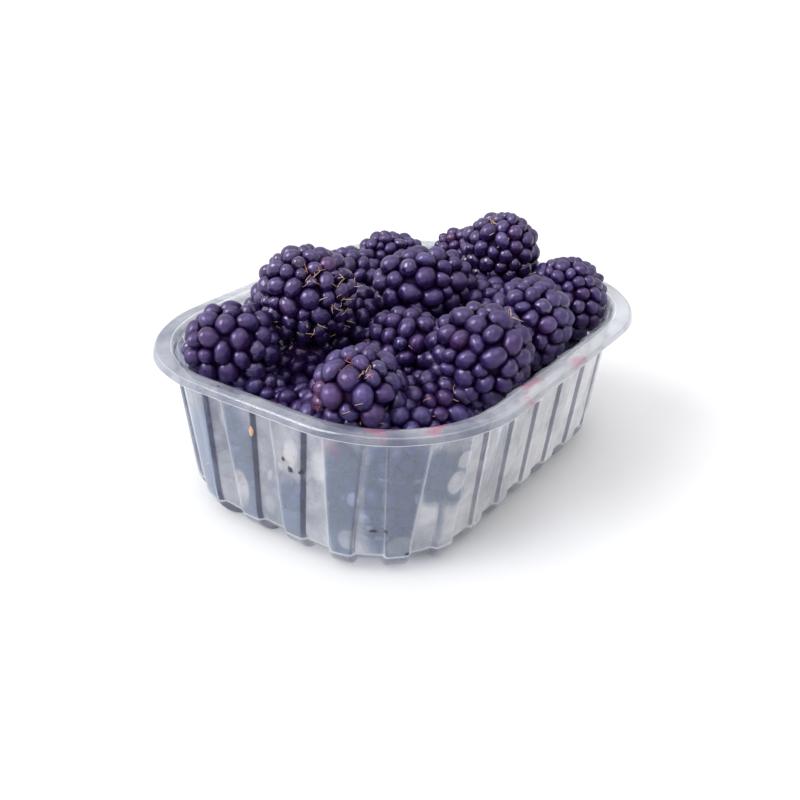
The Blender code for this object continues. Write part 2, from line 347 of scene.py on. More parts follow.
@dataclass(frozen=True)
class FleshInShade:
    """Flesh seen only between the drupelets and between the berries, near-black as painted shade in those
    gaps.
    """

    colour: Colour = srgb(26, 10, 50)
    juice: Colour = srgb(40, 12, 50)
    scale: float = 350.0
    patches: Pair = (0.4, 0.65)
    roughness: float = 0.7
    gloss: float = 0.15
    depth: float = 0.2 * MM

    def material(self) -> bpy.types.Material:
        """Flesh material.

        Returns:
            The material.
        """
        sheet = NodeSheet("berry_flesh_in_shade")
        patches = sheet.noise(self.scale, detail=3.0)
        inputs = {
            "Base Color": sheet.blend(sheet.ramp(patches, *self.patches), self.colour, self.juice),
            "Roughness": self.roughness,
            "Specular IOR Level": self.gloss,
            "Normal": sheet.bump(patches, self.depth),
        }
        return sheet.close(sheet.add("ShaderNodeBsdfPrincipled", inputs).outputs[0])


@dataclass(frozen=True)
class DriedStyle:
    """Dry straw, orange and red hairs."""

    straw: Colour = srgb(226, 196, 164)
    orange: Colour = srgb(206, 156, 118)
    red: Colour = srgb(140, 48, 58)
    brown: Colour = srgb(96, 58, 40)
    streak_scale: float = 2200.0
    streaks: Ramp = (0.4, 0.7, 0.0, 0.45)
    roughness: float = 0.5
    depth: float = 0.03 * MM

    def material(self) -> bpy.types.Material:
        """Hair material, with its colour from the tint that each hair carries.

        Returns:
            The material.
        """
        sheet = NodeSheet("dried_style")
        tint = sheet.field(Field.TINT)
        warm = sheet.blend(sheet.ramp(tint, Hair.STRAW.value, Hair.ORANGE.value), self.straw, self.orange)
        colour = sheet.blend(sheet.ramp(tint, Hair.ORANGE.value, Hair.RED.value), warm, self.red)
        streak = sheet.noise(self.streak_scale, detail=2.0)
        colour = sheet.blend(sheet.ramp(streak, *self.streaks), colour, self.brown)
        relief = sheet.bump(streak, self.depth)
        inputs = {"Base Color": colour, "Roughness": self.roughness, "Normal": relief}
        return sheet.close(sheet.add("ShaderNodeBsdfPrincipled", inputs).outputs[0])


@dataclass(frozen=True)
class Patch:
    """Part of the plastic inside an ellipsoid: its middle and reach in millimetres, and its strength."""

    middle: Triple
    reach: Triple
    strength: float = 1.0

    def ball(self, sheet: NodeSheet) -> Socket:
        """Number that falls from 1 in the patch's middle to 0 at its edge.

        Args:
            sheet: The material being built.

        Returns:
            The number.
        """
        inputs = {
            "Vector": sheet.place,
            "Location": [-place / reach for place, reach in zip(self.middle, self.reach)],
            "Scale": [1.0 / (reach * MM) for reach in self.reach],
        }
        local = sheet.add("ShaderNodeMapping", inputs).outputs[0]
        gradient = sheet.add("ShaderNodeTexGradient", {"Vector": local}, gradient_type="SPHERICAL")
        return gradient.outputs["Fac"]


@dataclass(frozen=True)
class Marks:
    """Patches on the plastic.

    Berries press on its ribs in rib_touches and on all of it in touches, but not in the gaps. The fog is
    painted paler in painted_light_fog, as painted light; the painted shade of the steps hardly shows in
    faint_step_shade, and the stains are of juice.
    """

    rib_touches: tuple[Patch, ...]
    touches: tuple[Patch, ...]
    gaps: tuple[Patch, ...]
    painted_light_fog: tuple[Patch, ...]
    faint_step_shade: tuple[Patch, ...]
    stains: tuple[Patch, ...]


@dataclass(frozen=True)
class ClearPlastic:
    """Thin clear sheet, fogged where no berry touches it, with clear steps darkened by painted shade and
    bends drawn with painted highlight lines.

    Colours in pairs are a darker and a paler one; for the haze and the rim they are painted shade and light
    by place. Milk is the share of light that doesn't pass.
    """

    shaded_and_lit_haze: tuple[Colour, Colour] = (srgb(176, 181, 193), srgb(238, 238, 241))
    haze_place: Ramp = (-50.0 * MM, -12.0 * MM, 0.3, 0.95)
    haze_clouds: Ramp = (0.35, 0.65, -0.28, 0.28)
    fog_place: Ramp = (-25.0 * MM, 45.0 * MM, 0.37, 0.85)
    fog_back: Ramp = (-30.0 * MM, 15.0 * MM, 1.0, 0.6)
    fog_clouds: Ramp = (0.3, 0.7, 0.8, 1.2)
    fog_rib: Ramp = (0.0, 1.0, 1.0, 0.88)
    cloud_scale: float = 90.0
    touch_haze: Colour = srgb(184, 196, 216)
    touch_milk: float = 0.14
    touch_rib: Pair = (0.3, 0.8)
    patch_scale: float = 140.0
    touch_edge: Pair = (0.1, 0.25)
    gap_edge: Pair = (0.08, 0.2)
    pale_edge: Pair = (0.15, 0.4)
    shaded_and_lit_rim_haze: tuple[Colour, Colour] = (srgb(116, 120, 140), srgb(202, 204, 210))
    rim_milk: float = 0.36
    step: Pair = (0.72, 0.95)
    painted_step_shade: tuple[Colour, Colour] = (srgb(112, 119, 146), srgb(182, 185, 202))
    step_shade_milk: float = 0.13
    step_shade_facing: Ramp = (0.26, 0.4, 1.0, 0.0)
    faint_edge: Pair = (0.05, 0.4)
    highlight_facing: Pair = (0.4, 0.55)
    # bend is the colour of the painted highlight lines on the bends and on steps seen edge-on.
    bend: Colour = srgb(246, 248, 252)
    highlight_line_ramp: Pair = (0.5, 0.8)
    highlight_milk: float = 0.34
    juice: Colour = srgb(182, 84, 118)
    stain_scale: float = 360.0
    stain_edge: Pair = (0.5, 0.35)
    stain_milk: float = 0.16
    roughness: float = 0.04
    ior: float = 1.49
    shadow: Colour = srgb(240, 241, 243)

    def material(self, marks: Marks) -> bpy.types.Material:
        """Plastic material.

        Args:
            marks: Patches on it.

        Returns:
            The material.
        """
        sheet = NodeSheet("clear_plastic")
        wall = sheet.field(Field.WALL)
        uneven = sheet.noise(self.patch_scale, detail=3.0, roughness=0.6)
        cloud = sheet.noise(self.cloud_scale, detail=4.0, roughness=0.6)
        along, across, _ = sheet.add("ShaderNodeSeparateXYZ", {0: sheet.place}).outputs
        touch = self.touched(sheet, marks, uneven)
        # Fog rises towards +X and towards -Y, which paints those walls paler: painted light, over the haze
        # of walls that no berry touches.
        fog = sheet.times(sheet.ramp(along, *self.fog_place), sheet.ramp(cloud, *self.fog_clouds))
        fog = sheet.times(fog, sheet.ramp(sheet.field(Field.RIB), *self.fog_rib))
        fog = sheet.times(fog, sheet.ramp(across, *self.fog_back))
        milk = sheet.between(wall, self.rim_milk, sheet.between(touch, fog, self.touch_milk))
        # The haze and rim colours are painted shade and light: darker towards the -X end, paler towards +X
        # and in the painted_light_fog patches, with random clouds.
        pale = sheet.math("ADD", sheet.ramp(along, *self.haze_place), sheet.ramp(cloud, *self.haze_clouds))
        pale = sheet.math("ADD", pale, self.cover(sheet, marks.painted_light_fog, uneven, *self.pale_edge))
        colour = sheet.blend(touch, sheet.blend(pale, *self.shaded_and_lit_haze), self.touch_haze)
        colour = sheet.blend(wall, sheet.blend(pale, *self.shaded_and_lit_rim_haze), colour)
        facing = sheet.facing()
        step = sheet.ramp(sheet.field(Field.STEP), *self.step)
        plain = sheet.math("SUBTRACT", 1.0, self.cover(sheet, marks.faint_step_shade, uneven, *self.faint_edge))
        # Painted shade: the rib steps that face the eye are darkened.
        dark = sheet.times(sheet.times(step, plain), sheet.ramp(facing, *self.step_shade_facing))
        # Painted highlights: thin white lines on steps seen edge-on and along the bends.
        bright = sheet.times(step, sheet.ramp(facing, *self.highlight_facing))
        bright = sheet.math("MAXIMUM", bright, sheet.ramp(sheet.field(Field.HIGHLIGHT_LINE), *self.highlight_line_ramp))
        colour = sheet.blend(dark, colour, sheet.blend(pale, *self.painted_step_shade))
        colour = sheet.blend(bright, colour, self.bend)
        milk = sheet.between(bright, sheet.between(dark, milk, self.step_shade_milk), self.highlight_milk)
        ragged = sheet.noise(self.stain_scale, detail=4.0, roughness=0.7)
        stain = self.cover(sheet, marks.stains, ragged, *self.stain_edge)
        colour = sheet.blend(stain, colour, self.juice)
        milk = sheet.math("ADD", milk, sheet.times(stain, self.stain_milk))
        skin = sheet.add(
            "ShaderNodeBsdfPrincipled",
            {
                "Base Color": colour,
                "Roughness": self.roughness,
                "IOR": self.ior,
                "Transmission Weight": sheet.math("SUBTRACT", 1.0, milk),
            },
        )
        through = sheet.add("ShaderNodeBsdfTransparent", {"Color": self.shadow})
        shadow_ray = sheet.add("ShaderNodeLightPath").outputs["Is Shadow Ray"]
        shaders = {0: shadow_ray, 1: skin.outputs[0], 2: through.outputs[0]}
        return sheet.close(sheet.add("ShaderNodeMixShader", shaders).outputs[0])

    def touched(self, sheet: NodeSheet, marks: Marks, uneven: Socket) -> Socket:
        """Mask of the places where berries press on the plastic.

        Args:
            sheet: The material being built.
            marks: Patches on the plastic.
            uneven: Noise that makes the patches' edges uneven.

        Returns:
            A mask that is 1 where a berry touches.
        """
        ribs = self.cover(sheet, marks.rib_touches, uneven, *self.touch_edge)
        ribs = sheet.times(ribs, sheet.ramp(sheet.field(Field.RIB), *self.touch_rib))
        touch = sheet.math("MAXIMUM", ribs, self.cover(sheet, marks.touches, uneven, *self.touch_edge))
        gap = self.cover(sheet, marks.gaps, uneven, *self.gap_edge)
        return sheet.times(touch, sheet.math("SUBTRACT", 1.0, gap))

    @staticmethod
    def cover(
        sheet: NodeSheet, patches: tuple[Patch, ...], noise: Socket, ragged: float, soft: float
    ) -> Socket:
        """Mask of a set of patches.

        Args:
            sheet: The material being built.
            patches: The patches.
            noise: What makes their edges uneven.
            ragged: How uneven their edges are, as a share of their reach.
            soft: How wide their soft edge is, as a share of their reach.

        Returns:
            A mask that is a patch's strength inside it and 0 outside all of them.
        """
        uneven = sheet.ramp(noise, *NOISE_SPAN, -ragged, ragged)
        total = 0.0
        for patch in patches:
            ball = sheet.math("ADD", patch.ball(sheet), uneven)
            inside = sheet.ramp(ball, ragged, ragged + soft, 0.0, patch.strength)
            total = sheet.math("MAXIMUM", inside, total)
        return total


@dataclass(frozen=True)
class Speck:
    """Small drop of dried juice or a fleck of skin on the punnet. Lengths are in millimetres.

    Its place is a point just outside the wall, and it lies on the plastic nearest to that.
    """

    place: Triple
    width: float
    height: float
    amber: float = 0.0


@dataclass(frozen=True)
class SpeckFinish:
    """Dark juice, or amber skin, by the tint that each speck carries."""

    dark: Colour = srgb(40, 40, 50)
    amber: Colour = srgb(198, 164, 132)
    grey: Colour = srgb(78, 76, 86)
    scale: float = 1800.0
    patches: Ramp = (0.45, 0.7, 0.0, 0.4)
    roughness: float = 0.3
    depth: float = 0.05 * MM

    def material(self) -> bpy.types.Material:
        """Speck material.

        Returns:
            The material.
        """
        sheet = NodeSheet("dried_juice")
        noise = sheet.noise(self.scale, detail=3.0)
        colour = sheet.blend(sheet.field(Field.TINT), self.dark, self.amber)
        colour = sheet.blend(sheet.ramp(noise, *self.patches), colour, self.grey)
        relief = sheet.bump(noise, self.depth)
        inputs = {"Base Color": colour, "Roughness": self.roughness, "Normal": relief}
        return sheet.close(sheet.add("ShaderNodeBsdfPrincipled", inputs).outputs[0])


@dataclass(frozen=True)
class Outline:
    """A rounded rectangle walked by length, from the middle of the -X end towards -Y."""

    half_length: float
    half_width: float
    corner: float

    @property
    def end_flat(self) -> float:
        """Half of the straight stretch of an end."""
        return self.half_width - self.corner

    @property
    def side_flat(self) -> float:
        """Half of the straight stretch of a side."""
        return self.half_length - self.corner

    @property
    def arc(self) -> float:
        """Length of a corner."""
        return self.corner * math.pi / 2

    def end_to_corner(self) -> float:
        """Length from the middle of an end to the middle of a corner."""
        return self.end_flat + self.arc / 2

    def quarter(self) -> float:
        """Length from the middle of an end to the middle of a side."""
        return self.end_flat + self.arc + self.side_flat

    def in_quarter(self, length: float) -> tuple[Vector, Vector]:
        """Point and outward direction, for a length within the first quarter.

        Args:
            length: Length from the middle of the -X end.

        Returns:
            The point and the unit vector that points out of the outline.
        """
        if length <= self.end_flat:
            return Vector((-self.half_length, -length)), Vector((-1.0, 0.0))
        length -= self.end_flat
        if length <= self.arc:
            angle = length / self.corner
            away = Vector((-math.cos(angle), -math.sin(angle)))
            return Vector((-self.side_flat, -self.end_flat)) + away * self.corner, away
        length -= self.arc
        return Vector((-self.side_flat + length, -self.half_width)), Vector((0.0, -1.0))

    def at(self, length: float) -> tuple[Vector, Vector]:
        """Point and outward direction, anywhere on the outline.

        Args:
            length: Length from the middle of the -X end, past a whole turn if need be.

        Returns:
            The point and the unit vector that points out of the outline.
        """
        turn, along = divmod(length, self.quarter())
        turn = int(turn) % 4
        if turn % 2:
            along = self.quarter() - along
        point, away = self.in_quarter(along)
        flip = Vector((-1.0 if turn in (1, 2) else 1.0, -1.0 if turn in (2, 3) else 1.0))
        return point * flip, away * flip


@dataclass(frozen=True)
class Level:
    """One closed row of points round the punnet, and how much of it is wall, rib step and painted highlight
    line.
    """

    outline: Outline
    height: float
    foot_share: float = 0.0
    depth: float = 0.0
    low: float = 0.0
    walls: float = 0.0
    steps: float = 0.0
    line: float = 0.0


@dataclass(frozen=True)
class RimRow:
    """Row on the rim: its inset and its drop from the top, in millimetres, and how strong a painted
    highlight line its bend gets.
    """

    inset: float
    drop: float
    line: float = 0.0


@dataclass(frozen=True)
class EdgeRow:
    """Row on the round base edge: its angle in degrees, and how much flute, foot, wall and painted
    highlight line it has.
    """

    angle: float
    flute: float = 1.0
    foot: float = 0.0
    wall: float = 0.0
    line: float = 0.0


@dataclass(frozen=True)
class BaseRow:
    """Row on the base: millimetres inward from the last one, and how much foot, flute and panel it has."""

    inward: float
    foot: float = 0.0
    flute: float = 0.0
    panel: float = 0.0


@dataclass
class Punnet:
    """Thermoformed tray: turned-down rim, tapering flutes, rounded base edge, feet and a raised panel."""

    rim_length: float = 118.0 * MM
    rim_width: float = 99.8 * MM
    rim_corner: float = 33.5 * MM
    rim_height: float = 41.5 * MM
    skirt_drop: float = 2.0 * MM
    skirt_flare: float = 0.65 * MM
    sheet: float = 0.5 * MM
    rim_rows: tuple[RimRow, ...] = (
        RimRow(0.05, 1.2),
        RimRow(0.28, 0.5),
        RimRow(0.6, 0.12, 0.62),
        RimRow(0.85, 0.0),
        RimRow(3.3, 0.0),
        RimRow(3.6, 0.08, 0.68),
    )
    neck_inset: float = 0.25 * MM
    neck_drop: float = 0.6 * MM
    wall_top_drop: float = 2.3 * MM
    wall_top_inset: Pair = (3.7 * MM, 5.3 * MM)
    wall_top_corner: float = 28.6 * MM
    wall_foot_height: float = 8.4 * MM
    wall_foot_inset: Pair = (4.8 * MM, 10.2 * MM)
    wall_foot_corner: float = 25.8 * MM
    wall_shares: tuple[float, ...] = (0.0, 0.03, 0.2, 0.4, 0.6, 0.8, 0.93, 1.0)
    flutes_end_to_corner: float = 2.5
    flutes_corner_to_side: int = 4
    flute_depth: float = 1.2 * MM
    flute_step: float = 0.4 * MM
    flute_crease: float = 0.55 * MM
    side_fade: float = 0.11
    flute_top: Pair = (10.7 * MM, 7.5 * MM)
    flute_foot: Pair = (6.2 * MM, 5.0 * MM)
    base_round: float = 6.8 * MM
    foot_height: float = 1.6 * MM
    panel_rise: float = 0.8 * MM
    edge_rows: tuple[EdgeRow, ...] = (
        EdgeRow(18.0, wall=1.0),
        EdgeRow(22.5, foot=0.05, wall=1.0, line=1.0),
        EdgeRow(27.0, foot=0.15),
        EdgeRow(45.0, foot=0.5),
        EdgeRow(67.5, flute=0.85, foot=0.9),
        EdgeRow(90.0, flute=0.6, foot=1.0),
    )
    base_rows: tuple[BaseRow, ...] = (
        BaseRow(3.2, foot=1.0, flute=0.3),
        BaseRow(1.3, foot=0.4),
        BaseRow(2.5),
        BaseRow(1.5, panel=1.0),
        BaseRow(0.8, panel=1.0),
    )

    def inset(self, ends: float, sides: float, corner: float) -> Outline:
        """The rim's outline moved in by one amount at the ends and another at the sides."""
        return Outline(self.rim_length / 2 - ends, self.rim_width / 2 - sides, corner)

    def even_inset(self, amount: float) -> Outline:
        """The rim's outline moved in by the same amount all round."""
        return self.inset(amount, amount, self.rim_corner - amount)

    def wall(self, share: float, inward: float = 0.0) -> Outline:
        """Outline of the wall.

        Args:
            share: 0 at the wall's top and 1 at its foot.
            inward: How much further in it lies.

        Returns:
            The outline of the flutes' outer face there.
        """
        ends, sides = (
            high + (low - high) * share + inward
            for high, low in zip(self.wall_top_inset, self.wall_foot_inset)
        )
        corner = self.wall_top_corner + (self.wall_foot_corner - self.wall_top_corner) * share
        return self.inset(ends, sides, corner - inward)

    def flutes(self) -> list[tuple[int, float]]:
        """Each flute as quarters passed and place in the quarter: 0 is an end, 1 a corner, 2 a side.

        Returns:
            The flutes in order round the punnet.
        """
        places = []
        for quarter in range(4):
            ends = [(0.5 + i) / self.flutes_end_to_corner for i in range(int(self.flutes_end_to_corner))]
            sides = [1.0 + i / self.flutes_corner_to_side for i in range(self.flutes_corner_to_side)]
            row = ends + sides + ([2.0] if quarter % 2 == 0 else [])
            places += [(quarter, place) for place in (row[::-1] if quarter % 2 else row)]
        return places

    def flute_middle(self, outline: Outline, quarter: int, place: float) -> float:
        """Length along an outline to the middle of a flute.

        Args:
            outline: The outline.
            quarter: Quarters passed.
            place: Place in the quarter.

        Returns:
            The length from the middle of the -X end.
        """
        along = min(place, 1.0) * outline.end_to_corner()
        along += max(place - 1.0, 0.0) * (outline.quarter() - outline.end_to_corner())
        if quarter % 2:
            along = outline.quarter() - along
        return quarter * outline.quarter() + along

    def half_flute(self, place: float, foot_share: float) -> float:
        """Half of a flute's width: wide at the ends and corners, narrower towards a side's middle.

        Args:
            place: Place in the quarter.
            foot_share: 0 at the wall's top and 1 at its foot.

        Returns:
            Half of the width.
        """
        at_end, at_side = (
            high + (low - high) * foot_share for high, low in zip(self.flute_top, self.flute_foot)
        )
        return (at_end + (at_side - at_end) * self.side_share(place)) / 2

    @staticmethod
    def side_share(place: float) -> float:
        """How much a flute belongs to a side rather than to a corner or an end."""
        return min(max((place - 1.0) * 2.0, 0.0), 1.0)

    def row(self, level: Level) -> list[RowPoint]:
        """Points of one level, ten to a flute.

        Args:
            level: The level.

        Returns:
            Each point with how much it belongs to the wall, a rib, a rib's step and a painted highlight
            line.
        """
        flutes = self.flutes()
        middles = [self.flute_middle(level.outline, *flute) for flute in flutes]
        middles.append(middles[0] + 4 * level.outline.quarter())
        step, crease = self.flute_step, self.flute_crease
        points = []
        for i, (_, place) in enumerate(flutes):
            half = self.half_flute(place, level.foot_share)
            # How strongly a step is painted dark or bright in the finish, weaker towards a side's middle.
            shade = level.steps * (1.0 - self.side_fade * self.side_share(place))
            rise = [
                (-half - step - crease, 0.0, 0.0),
                (-half - step, 0.0, 1.0),
                (-half + step, 1.0, 1.0),
                (-half + step + crease, 1.0, 0.0),
            ]
            fall = [(-offset, rib, edge) for offset, rib, edge in reversed(rise)]
            valley = [((middles[i + 1] - middles[i]) / 2, 0.0, 0.0)]
            for offset, rib, edge in rise + [(0.0, 1.0, 0.0)] + fall + valley:
                point, away = level.outline.at(middles[i] + offset)
                point = point - away * level.depth * (1.0 - rib)
                spot = Vector((point.x, point.y, level.height - level.low * rib))
                points.append((spot, level.walls, rib * level.walls, edge * shade, level.line))
        return points

    def levels(self) -> list[Level]:
        """Every row of the sheet's under and outer face, from the skirt's edge to the base panel.

        Returns:
            The levels in order.
        """
        return self.rim_levels() + self.wall_levels() + self.base_levels()

    def rim_levels(self) -> list[Level]:
        """Rows from the skirt's edge over the rim to the wall's top.

        Returns:
            The levels in order.
        """
        top = self.rim_height - self.sheet
        skirt = self.even_inset(self.sheet - self.skirt_flare)
        levels = [Level(skirt, self.rim_height - self.skirt_drop, line=1.0)]
        for row in self.rim_rows:
            levels.append(Level(self.even_inset(row.inset * MM), top - row.drop * MM, line=row.line))
        levels.append(Level(self.wall(0.0, self.neck_inset), top - self.neck_drop))
        return levels

    def wall_levels(self) -> list[Level]:
        """Rows down the fluted wall.

        Returns:
            The levels in order.
        """
        top = self.rim_height - self.wall_top_drop
        levels = []
        for share in self.wall_shares:
            height = top + (self.wall_foot_height - top) * share
            levels.append(Level(self.wall(share), height, share, self.flute_depth, 0.0, 1.0, 1.0))
        return levels

    def base_levels(self) -> list[Level]:
        """Rows round the base edge, over the feet and up to the base panel.

        Returns:
            The levels in order.
        """
        levels = []
        for row in self.edge_rows:
            angle = math.radians(row.angle)
            outline = self.wall(1.0, self.base_round * (1.0 - math.cos(angle)))
            height = self.wall_foot_height - self.base_round * math.sin(angle)
            depth, low = self.flute_depth * row.flute, self.foot_height * row.foot
            levels.append(Level(outline, height, 1.0, depth, low, row.wall, row.wall, row.line))
        inward = self.base_round
        for row in self.base_rows:
            inward += row.inward * MM
            height = self.foot_height + self.panel_rise * row.panel
            depth, low = self.flute_depth * row.flute, self.foot_height * row.foot
            levels.append(Level(self.wall(1.0, inward), height, 1.0, depth, low))
        return levels

    def build(self, finish: bpy.types.Material) -> bpy.types.Object:
        """Makes the tray, which stands for the CAD tray.

        Args:
            finish: The plastic.

        Returns:
            The tray.
        """
        bm = bmesh.new()
        names = (Field.WALL, Field.RIB, Field.STEP, Field.HIGHLIGHT_LINE)
        fields = [bm.verts.layers.float.new(name.value) for name in names]
        rows = [self.row(level) for level in self.levels()]
        loop = [bm.verts.new(point) for point, *_ in rows[0]]
        for i, (vert, (_, *values)) in enumerate(zip(loop, rows[0])):
            bm.edges.new((vert, loop[(i + 1) % len(loop)]))
            for layer, value in zip(fields, values):
                vert[layer] = value
        for row in rows[1:]:
            loop = self.grow(bm, loop, row, fields)
        half = len(loop) // 2
        halves = [bm.edges.get((loop[i], loop[i + 1])) for i in range(len(loop) - 1) if i != half - 1]
        panel = bmesh.ops.bridge_loops(bm, edges=halves)["faces"]
        bmesh.ops.recalc_face_normals(bm, faces=bm.faces)
        bm.normal_update()
        if sum(face.normal.z for face in panel) > 0.0:
            bmesh.ops.reverse_faces(bm, faces=bm.faces)
        tray = finish_object("punnet_tray", bm, finish)
        add_subdivision(tray, 1)
        thickness = tray.modifiers.new("sheet", "SOLIDIFY")
        thickness.thickness = self.sheet
        thickness.offset = -1.0
        thickness.use_even_offset = False
        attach(tray, BODY)
        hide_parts("punnet")
        return tray

    @staticmethod
    def grow(
        bm: bmesh.types.BMesh, loop: Loop, row: list[RowPoint], fields: list[bmesh.types.BMLayerItem]
    ) -> Loop:
        """Extrudes a closed loop of points to the next row.

        Args:
            bm: The mesh.
            loop: The last row's points, in order.
            row: Where the new points go, and what they carry.
            fields: The layers for what they carry.

        Returns:
            The new row's points, in the same order.
        """
        edges = [bm.edges.get((loop[i - 1], vert)) for i, vert in enumerate(loop)]
        grown = bmesh.ops.extrude_edge_only(bm, edges=edges)["geom"]
        fresh = {item for item in grown if isinstance(item, bmesh.types.BMVert)}
        following = []
        for vert, (point, *values) in zip(loop, row):
            partner = next(e.other_vert(vert) for e in vert.link_edges if e.other_vert(vert) in fresh)
            partner.co = point
            for layer, value in zip(fields, values):
                partner[layer] = value
            following.append(partner)
        return following


class Look(Enum):
    """Kinds of odd drupelet, as tone, blush and wetness."""

    BLUSH = (0.7, 0.2, 0.0)
    SLATE = (1.1, 0.0, 0.0)
    RED = (0.2, 0.5, 0.4)
    WET = (-0.5, 0.1, 1.0)
    BROWN = (0.0, 0.4, 0.2)


@dataclass(frozen=True)
class Accent:
    """One odd drupelet: the one nearest to a direction from its berry's middle."""

    berry: str
    heading: float
    rise: float
    look: Look


@dataclass(frozen=True)
class Drupelet:
    """One drupelet: where it sits, how far it reaches, how it leans and what its skin is like.

    The reach is how far it goes to each side, at even steps round it, before it meets its neighbours.
    """

    frame: Matrix
    reach: np.ndarray
    height: float
    lean: Pair
    tone: float
    blush: float
    wet: float

    def place(self, point: Vector) -> Vector:
        """Moves a point of the mould to its place on this drupelet.

        Args:
            point: A point of a ball of radius 1 that points along +Z.

        Returns:
            The point on the drupelet.
        """
        count = len(self.reach)
        turn = (math.atan2(point.y, point.x) / math.tau) % 1.0 * count
        before = int(turn) % count
        share = turn - int(turn)
        side = self.reach[before] * (1.0 - share) + self.reach[(before + 1) % count] * share
        shift = max(point.z, 0.0) ** 2 * self.height
        across = point.x * side + self.lean[0] * shift
        along = point.y * side + self.lean[1] * shift
        return self.frame @ Vector((across, along, point.z * self.height))


@dataclass(frozen=True)
class Growth:
    """How drupelets crowd a berry and how they vary. Sizes are shares of the berry's usual drupelet."""

    fewest: int = 24
    sink: float = 1.02
    room: float = 0.67548
    area_power: float = 1.6
    scatter: float = 0.3 * MM
    sizes: Pair = (0.68, 1.28)
    spacing: float = 0.9
    push_rounds: int = 50
    push_share: float = 0.25
    tilt: float = 0.11
    stretch: float = 0.2
    lean: float = 0.12
    sunk: float = 0.2
    height_least: float = 0.62
    height_for_size: float = 0.4
    height_draw: Pair = (0.88, 1.1)
    side_steps: int = 12
    side_near: float = 2.4
    side_least: float = 0.25
    side_for_size: float = 0.33
    side_slant: float = 0.05
    side_power: float = 6.0
    heart_sink: float = 0.62


@dataclass(frozen=True)
class SkinDraw:
    """How tone, blush and wetness vary from drupelet to drupelet."""

    tone: float = 0.4
    tone_spread: float = 0.24
    tone_range: Pair = (-1.0, 1.2)
    blush: float = 0.12
    blush_over: float = 0.7
    wet: float = 0.85
    wet_share: float = 0.07
    damp: float = 0.25
    pressed_out: float = 0.6
    pressed_tone: float = 2.0
    underside_shade_tone: float = -0.6
    below_wet: float = 1.0


